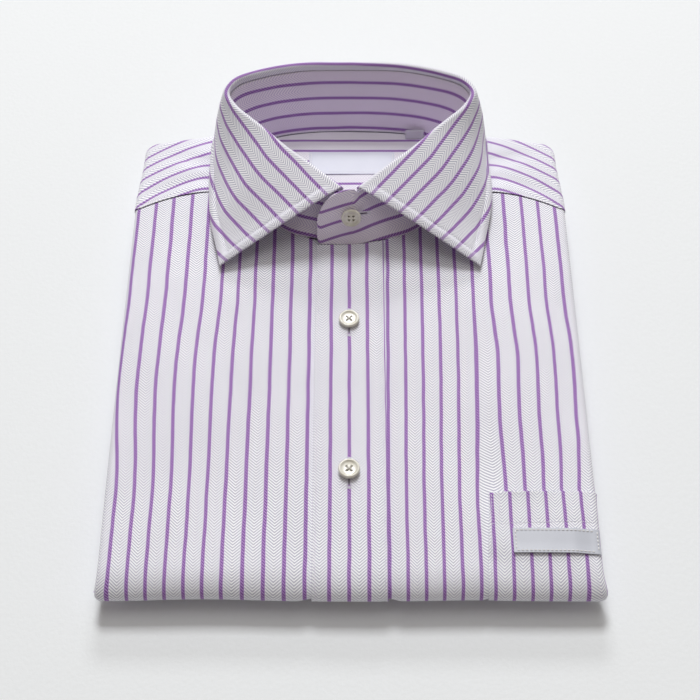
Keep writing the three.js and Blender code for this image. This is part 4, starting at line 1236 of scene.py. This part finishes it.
# Labels
def neck_label_surface(x, y):
    middle_y = (NECK_LABEL["front"] + NECK_LABEL["back"]) / 2 + COLLAR[1]
    half_y = (NECK_LABEL["back"] - NECK_LABEL["front"]) / 2
    inside = np.minimum(
        NECK_LABEL["width"] / 2 - np.abs(x - NECK_LABEL["x"]), half_y - np.abs(y - middle_y)
    )
    return np.stack([x, y, surface_z(x, y) + 0.62 + 0.4 * smooth(inside / 3)], -1)


label_x = NECK_LABEL["x"] + stations(-NECK_LABEL["width"] / 2, NECK_LABEL["width"] / 2, 0.9, True, True)
label_y = stations(NECK_LABEL["front"] + COLLAR[1], NECK_LABEL["back"] + COLLAR[1], 0.8, True, True)
grid_x, grid_y = np.meshgrid(label_x, label_y, indexing="ij")
# The label's satin is partly its own pale colour, partly painted light
neck_label = shell(
    "neck_label_tape", neck_label_surface(grid_x, grid_y), np.stack([grid_x, grid_y], -1), 0.4, NECK_SATIN_PAINTED_LIGHT,
    side=1, rounded="azlr",
)
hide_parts("neck_label")
label_sides = [NECK_LABEL["x"] + k * (NECK_LABEL["width"] / 2 - 1.1) for k in (-1, 1)]
neck_label_seams = stitches("neck_label_stitches", [
    surface_line(neck_label_surface, x, np.arange(label_y[0] + 0.8, label_y[-1] - 0.8, 0.8)) for x in label_sides
], BORDER_THREAD)


def pocket_label_surface(across, s):
    share = (s - float(top_s(POCKET_LABEL["top"]))) / POCKET_LABEL["length"]
    stand = 2.45 + 0.25 * smooth((share - 0.55) / 0.45) + 0.1 * np.sin(across / 7)
    return cloth_point(1, across, s, stand - 1.4 * smooth((across - 112) / 11))


tape_across = stations(POCKET_LABEL["from"], POCKET_LABEL["to"], 0.8, True, True)
tape_s = float(top_s(POCKET_LABEL["top"])) + stations(0, POCKET_LABEL["length"], 0.7, True, True)
grid_x, grid_s = np.meshgrid(tape_across, tape_s, indexing="ij")
pocket_label = shell(
    "pocket_label_tape", pocket_label_surface(grid_x, grid_s), np.stack([grid_x, -grid_s], -1), 0.45,
    POCKET_SATIN, side=-1, rounded="azlr",
)
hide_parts("pocket_label")
TAPE_MARGIN = 1.3
tape_in = np.arange(tape_across[0] + TAPE_MARGIN, tape_across[-1] - TAPE_MARGIN, 0.8)
tape_down = np.arange(tape_s[0] + TAPE_MARGIN, tape_s[-1] - TAPE_MARGIN, 0.8)
pocket_label_seams = stitches("pocket_label_stitches", [
    surface_line(pocket_label_surface, tape_in, tape_s[0] + TAPE_MARGIN, -1),
    surface_line(pocket_label_surface, tape_in, tape_s[-1] - TAPE_MARGIN, -1),
    surface_line(pocket_label_surface, tape_across[0] + TAPE_MARGIN, tape_down, -1),
    surface_line(pocket_label_surface, tape_across[-1] - TAPE_MARGIN, tape_down, -1),
], BORDER_THREAD, radius=0.3, pitch=2.1, length=1.35)


# Size tab: a folded scrap of tape standing in the neck seam
def size_tab_face():
    x = SIZE_TAB["x"] + np.linspace(-0.5, 0.5, 16) * SIZE_TAB["width"]
    share = np.linspace(0, 1, 10)
    foot, top = np.array(SIZE_TAB["foot"]), np.array(SIZE_TAB["top"])
    run = foot + (top - foot) * share[:, None]
    base = float(surface_z(SIZE_TAB["x"], SIZE_TAB["foot"][0] + COLLAR[1]))
    gx = np.broadcast_to(x[:, None], (16, 10))
    y = run[None, :, 0] + COLLAR[1] - 0.5 * share**2 + 0.25 * np.sin((gx - x[0]) / 4)
    z = np.broadcast_to(base + run[None, :, 1], gx.shape)
    return np.stack([gx, y, z], -1), np.stack([gx, z], -1)


tab_face, tab_uv = size_tab_face()
size_tab = shell("size_tab_tape", tab_face, tab_uv, 0.7, TAB_TAPE, side=1, rounded="azr")
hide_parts("size_tab")

# Buttons: a dished disc with a raised rim, drilled with four holes
BUTTON_PROFILE = [
    (4.3, 0), (5.1, 0.35), (5.55, 0.95), (5.7, 1.6), (5.62, 2.2), (5.35, 2.62), (4.95, 2.8), (4.55, 2.7),
    (4.2, 2.42), (3.85, 2.2), (3.4, 2.1),
]
BUTTON_TURNS = 56


def button_mesh():
    angle = np.linspace(0, 2 * math.pi, BUTTON_TURNS + 1)[:-1]
    rings = [[(r * math.cos(a), r * math.sin(a), z) for a in angle] for r, z in BUTTON_PROFILE]
    faces = [tuple(range(BUTTON_TURNS))[::-1]]
    for row in range(len(rings) - 1):
        for k in range(BUTTON_TURNS):
            a, b = row * BUTTON_TURNS + k, row * BUTTON_TURNS + (k + 1) % BUTTON_TURNS
            faces.append((a, b, b + BUTTON_TURNS, a + BUTTON_TURNS))
    faces.append(tuple((len(rings) - 1) * BUTTON_TURNS + k for k in range(BUTTON_TURNS)))
    mesh = bpy.data.meshes.new("button")
    mesh.from_pydata([tuple(c * MM for c in p) for ring in rings for p in ring], [], faces)
    disc = bpy.data.objects.new("button", mesh)
    bpy.context.scene.collection.objects.link(disc)
    drills = []
    for sx in (-1, 1):
        for sy in (-1, 1):
            place = (sx * HOLE_SPREAD * MM, sy * HOLE_SPREAD * MM, 1.2 * MM)
            bpy.ops.mesh.primitive_cylinder_add(
                vertices=20, radius=HOLE_RADIUS * MM, depth=8 * MM, location=place
            )
            drills.append(bpy.context.object)
    for drill in drills:
        cut = disc.modifiers.new("hole", "BOOLEAN")
        cut.operation = "DIFFERENCE"
        cut.solver = "EXACT"
        cut.object = drill
    drilled = bpy.data.meshes.new_from_object(disc.evaluated_get(bpy.context.evaluated_depsgraph_get()))
    for extra in [disc, *drills]:
        bpy.data.objects.remove(extra)
    drilled.shade_smooth()
    drilled.set_sharp_from_angle(angle=math.radians(40))
    drilled.materials.clear()
    drilled.materials.append(SHELL_BUTTON)
    return drilled


BUTTON_MESH = button_mesh()
HOLES = np.array([(sx, sy, 0) for sx in (-1, 1) for sy in (-1, 1)]) * HOLE_SPREAD


def place_button(node, x, y, z, out, crossed):
    made = bpy.data.objects.new(f"{node}_disc", BUTTON_MESH.copy())
    made.location = (x * MM, (y + GAP * math.cos(out)) * MM, (z + GAP * math.sin(out)) * MM)
    made.rotation_euler = (out - math.pi / 2, 0, 0)
    bpy.context.scene.collection.objects.link(made)
    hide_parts(node)
    start, end = HOLES + [0, 0, -0.6], HOLES + [0, 0, 1.5]
    up = np.tile([1.0, 0, 0], (4, 1))
    if crossed:
        start = np.concatenate([start, HOLES[:2] + [0, 0, 2.2], HOLES[:2] + [0, 0, 2.5]])
        end = np.concatenate([end, HOLES[:1:-1] + [0, 0, 2.2], HOLES[:1:-1] + [0, 0, 2.5]])
        up = np.concatenate([up, np.tile([0, 0, 1.0], (4, 1))])
    held = bars(f"{node}_thread", start, end, up, 0.46, BUTTON_THREAD, arch=0.2)
    held.location = made.location
    held.rotation_euler = made.rotation_euler
    for piece in (made, held):
        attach(piece, "root")
    return made, held


band_tilt = math.atan(BAND_LEAN)
band_face_y = OVER_BAND["foot"] - STAND_CLOTH * math.cos(band_tilt)
buttons = [place_button(
    "collar_button", COLLAR_BUTTON[0], band_face_y + BAND_LEAN * COLLAR_BUTTON[1] - 0.6 + COLLAR[1],
    COLLAR_BUTTON[1] + COLLAR[2], math.pi - band_tilt, False,
)]
for k, s in enumerate([*(float(top_s(y)) for y in FRONT_BUTTONS_Y), ROLL_BUTTON_S]):
    y, z, out = (float(v) for v in route(s))
    buttons.append(place_button(f"front_button_{k + 1}", BUTTON_X, y, z, out, True))


# Buttonholes: a slit between two rows of close stitches, with a bar at each end, and a dark bar of painted shade
# along the slit
def buttonhole(name, at, up, low, high):
    """at maps along and across the slit, in millimetres, to a point of the cloth."""
    run = np.arange(low, high, 0.42)
    start, end = [], []
    for side in (-1, 1):
        start += [at(u, side * 0.3) for u in run]
        end += [at(u, side * 1.25) for u in run]
    for u in [*(low - 0.35 * np.arange(1, 5)), *(high + 0.35 * np.arange(1, 5))]:
        start.append(at(u, -1.3))
        end.append(at(u, 1.3))
    ups = np.array([up(p) for p in start])
    edge = bars(f"{name}_edges", np.array(start), np.array(end), ups, 0.24, SEAM_THREAD)
    mid = np.array([at(low + 0.2, 0), at((low + high) / 2, 0)])
    far = np.array([at((low + high) / 2, 0), at(high - 0.2, 0)])
    # Painted shade: a dark bar standing in for the shadow inside the cut
    slit = bars(f"{name}_slit", mid, far, np.array([up(mid[0]), up(mid[1])]), 0.34, SLIT_PAINTED_SHADE, arch=0)
    for piece in (edge, slit):
        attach(piece, "root")
    return [edge, slit]


placket_holes = []
for k, hole_y in enumerate(FRONT_BUTTONS_Y):
    s0 = float(top_s(hole_y))
    placket_holes += buttonhole(
        f"buttonhole_{k + 1}", lambda u, v, s0=s0: placket_surface(np.float64(BUTTON_X + v), np.float64(s0 + u)),
        lambda p: np.array([0, 0, 1.0]), -6.5, 9.0,
    )


def band_point(u, v):
    height = COLLAR_BUTTON[1] + 0.5 + v + 0.12 * u
    return np.array([COLLAR_BUTTON[0] + u, band_face_y + BAND_LEAN * height + COLLAR[1] - 0.05, height + COLLAR[2]])


BAND_OUT = unit(np.array([0, -1.0, BAND_LEAN]))
collar_hole = buttonhole("collar_buttonhole", band_point, lambda p: BAND_OUT, -5.5, 9.4)

for piece, slot in ((neck_label, "label"), (pocket_label, "label"), (size_tab, "label"), (layers, "shirting")):
    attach(piece, "root")
for piece in (placket_seams, pocket_seams, yoke_seams, leaf_seams, neck_label_seams, pocket_label_seams):
    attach(piece, "root")

for piece in (right_front, left_front, placket, pocket, yoke, lining, leaf, stand):
    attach(piece, "root")

# Floor, light and camera
bpy.ops.mesh.primitive_plane_add(size=6, location=(0, 0, 0))
floor = bpy.context.object
floor.name = "floor"
floor.data.materials.append(floor_paper())

world = bpy.data.worlds.new("pale_room")
bpy.context.scene.world = world
world.use_nodes = True
world.node_tree.nodes["Background"].inputs[0].default_value = (1.0, 0.905, 0.81, 1)
world.node_tree.nodes["Background"].inputs[1].default_value = 0.22


def area_light(name, location, target, width, height, watts, color):
    data = bpy.data.lights.new(name, "AREA")
    data.shape = "RECTANGLE"
    data.size = width * MM
    data.size_y = height * MM
    data.energy = watts
    data.color = color
    made = bpy.data.objects.new(name, data)
    made.location = [c * MM for c in location]
    toward = (np.array(target, float) - np.array(location, float)).tolist()
    made.rotation_mode = "QUATERNION"
    made.rotation_quaternion = Vector(toward).to_track_quat("-Z", "Y")
    bpy.context.scene.collection.objects.link(made)
    return made


area_light("window", (-150, 2300, 3400), (0, 0, 0), 1100, 1100, 98, (0.985, 0.99, 1.0))
area_light("low_window", (0, 3300, 1950), (0, 0, 0), 1300, 600, 44, (0.985, 0.99, 1.0))
area_light("ceiling", (0, 200, 2600), (0, 0, 0), 1500, 1500, 11, (0.985, 0.99, 1.0))

bpy.context.scene.view_settings.view_transform = "Standard"
camera_data = bpy.data.cameras.new("camera")
camera_data.lens = LENS
camera_data.sensor_width = 36
camera = bpy.data.objects.new("camera", camera_data)
camera.location = [c * MM for c in CAMERA_AT]
camera.rotation_euler = (math.pi / 2 - CAMERA_DOWN, 0, 0)
bpy.context.scene.collection.objects.link(camera)
bpy.context.scene.camera = camera
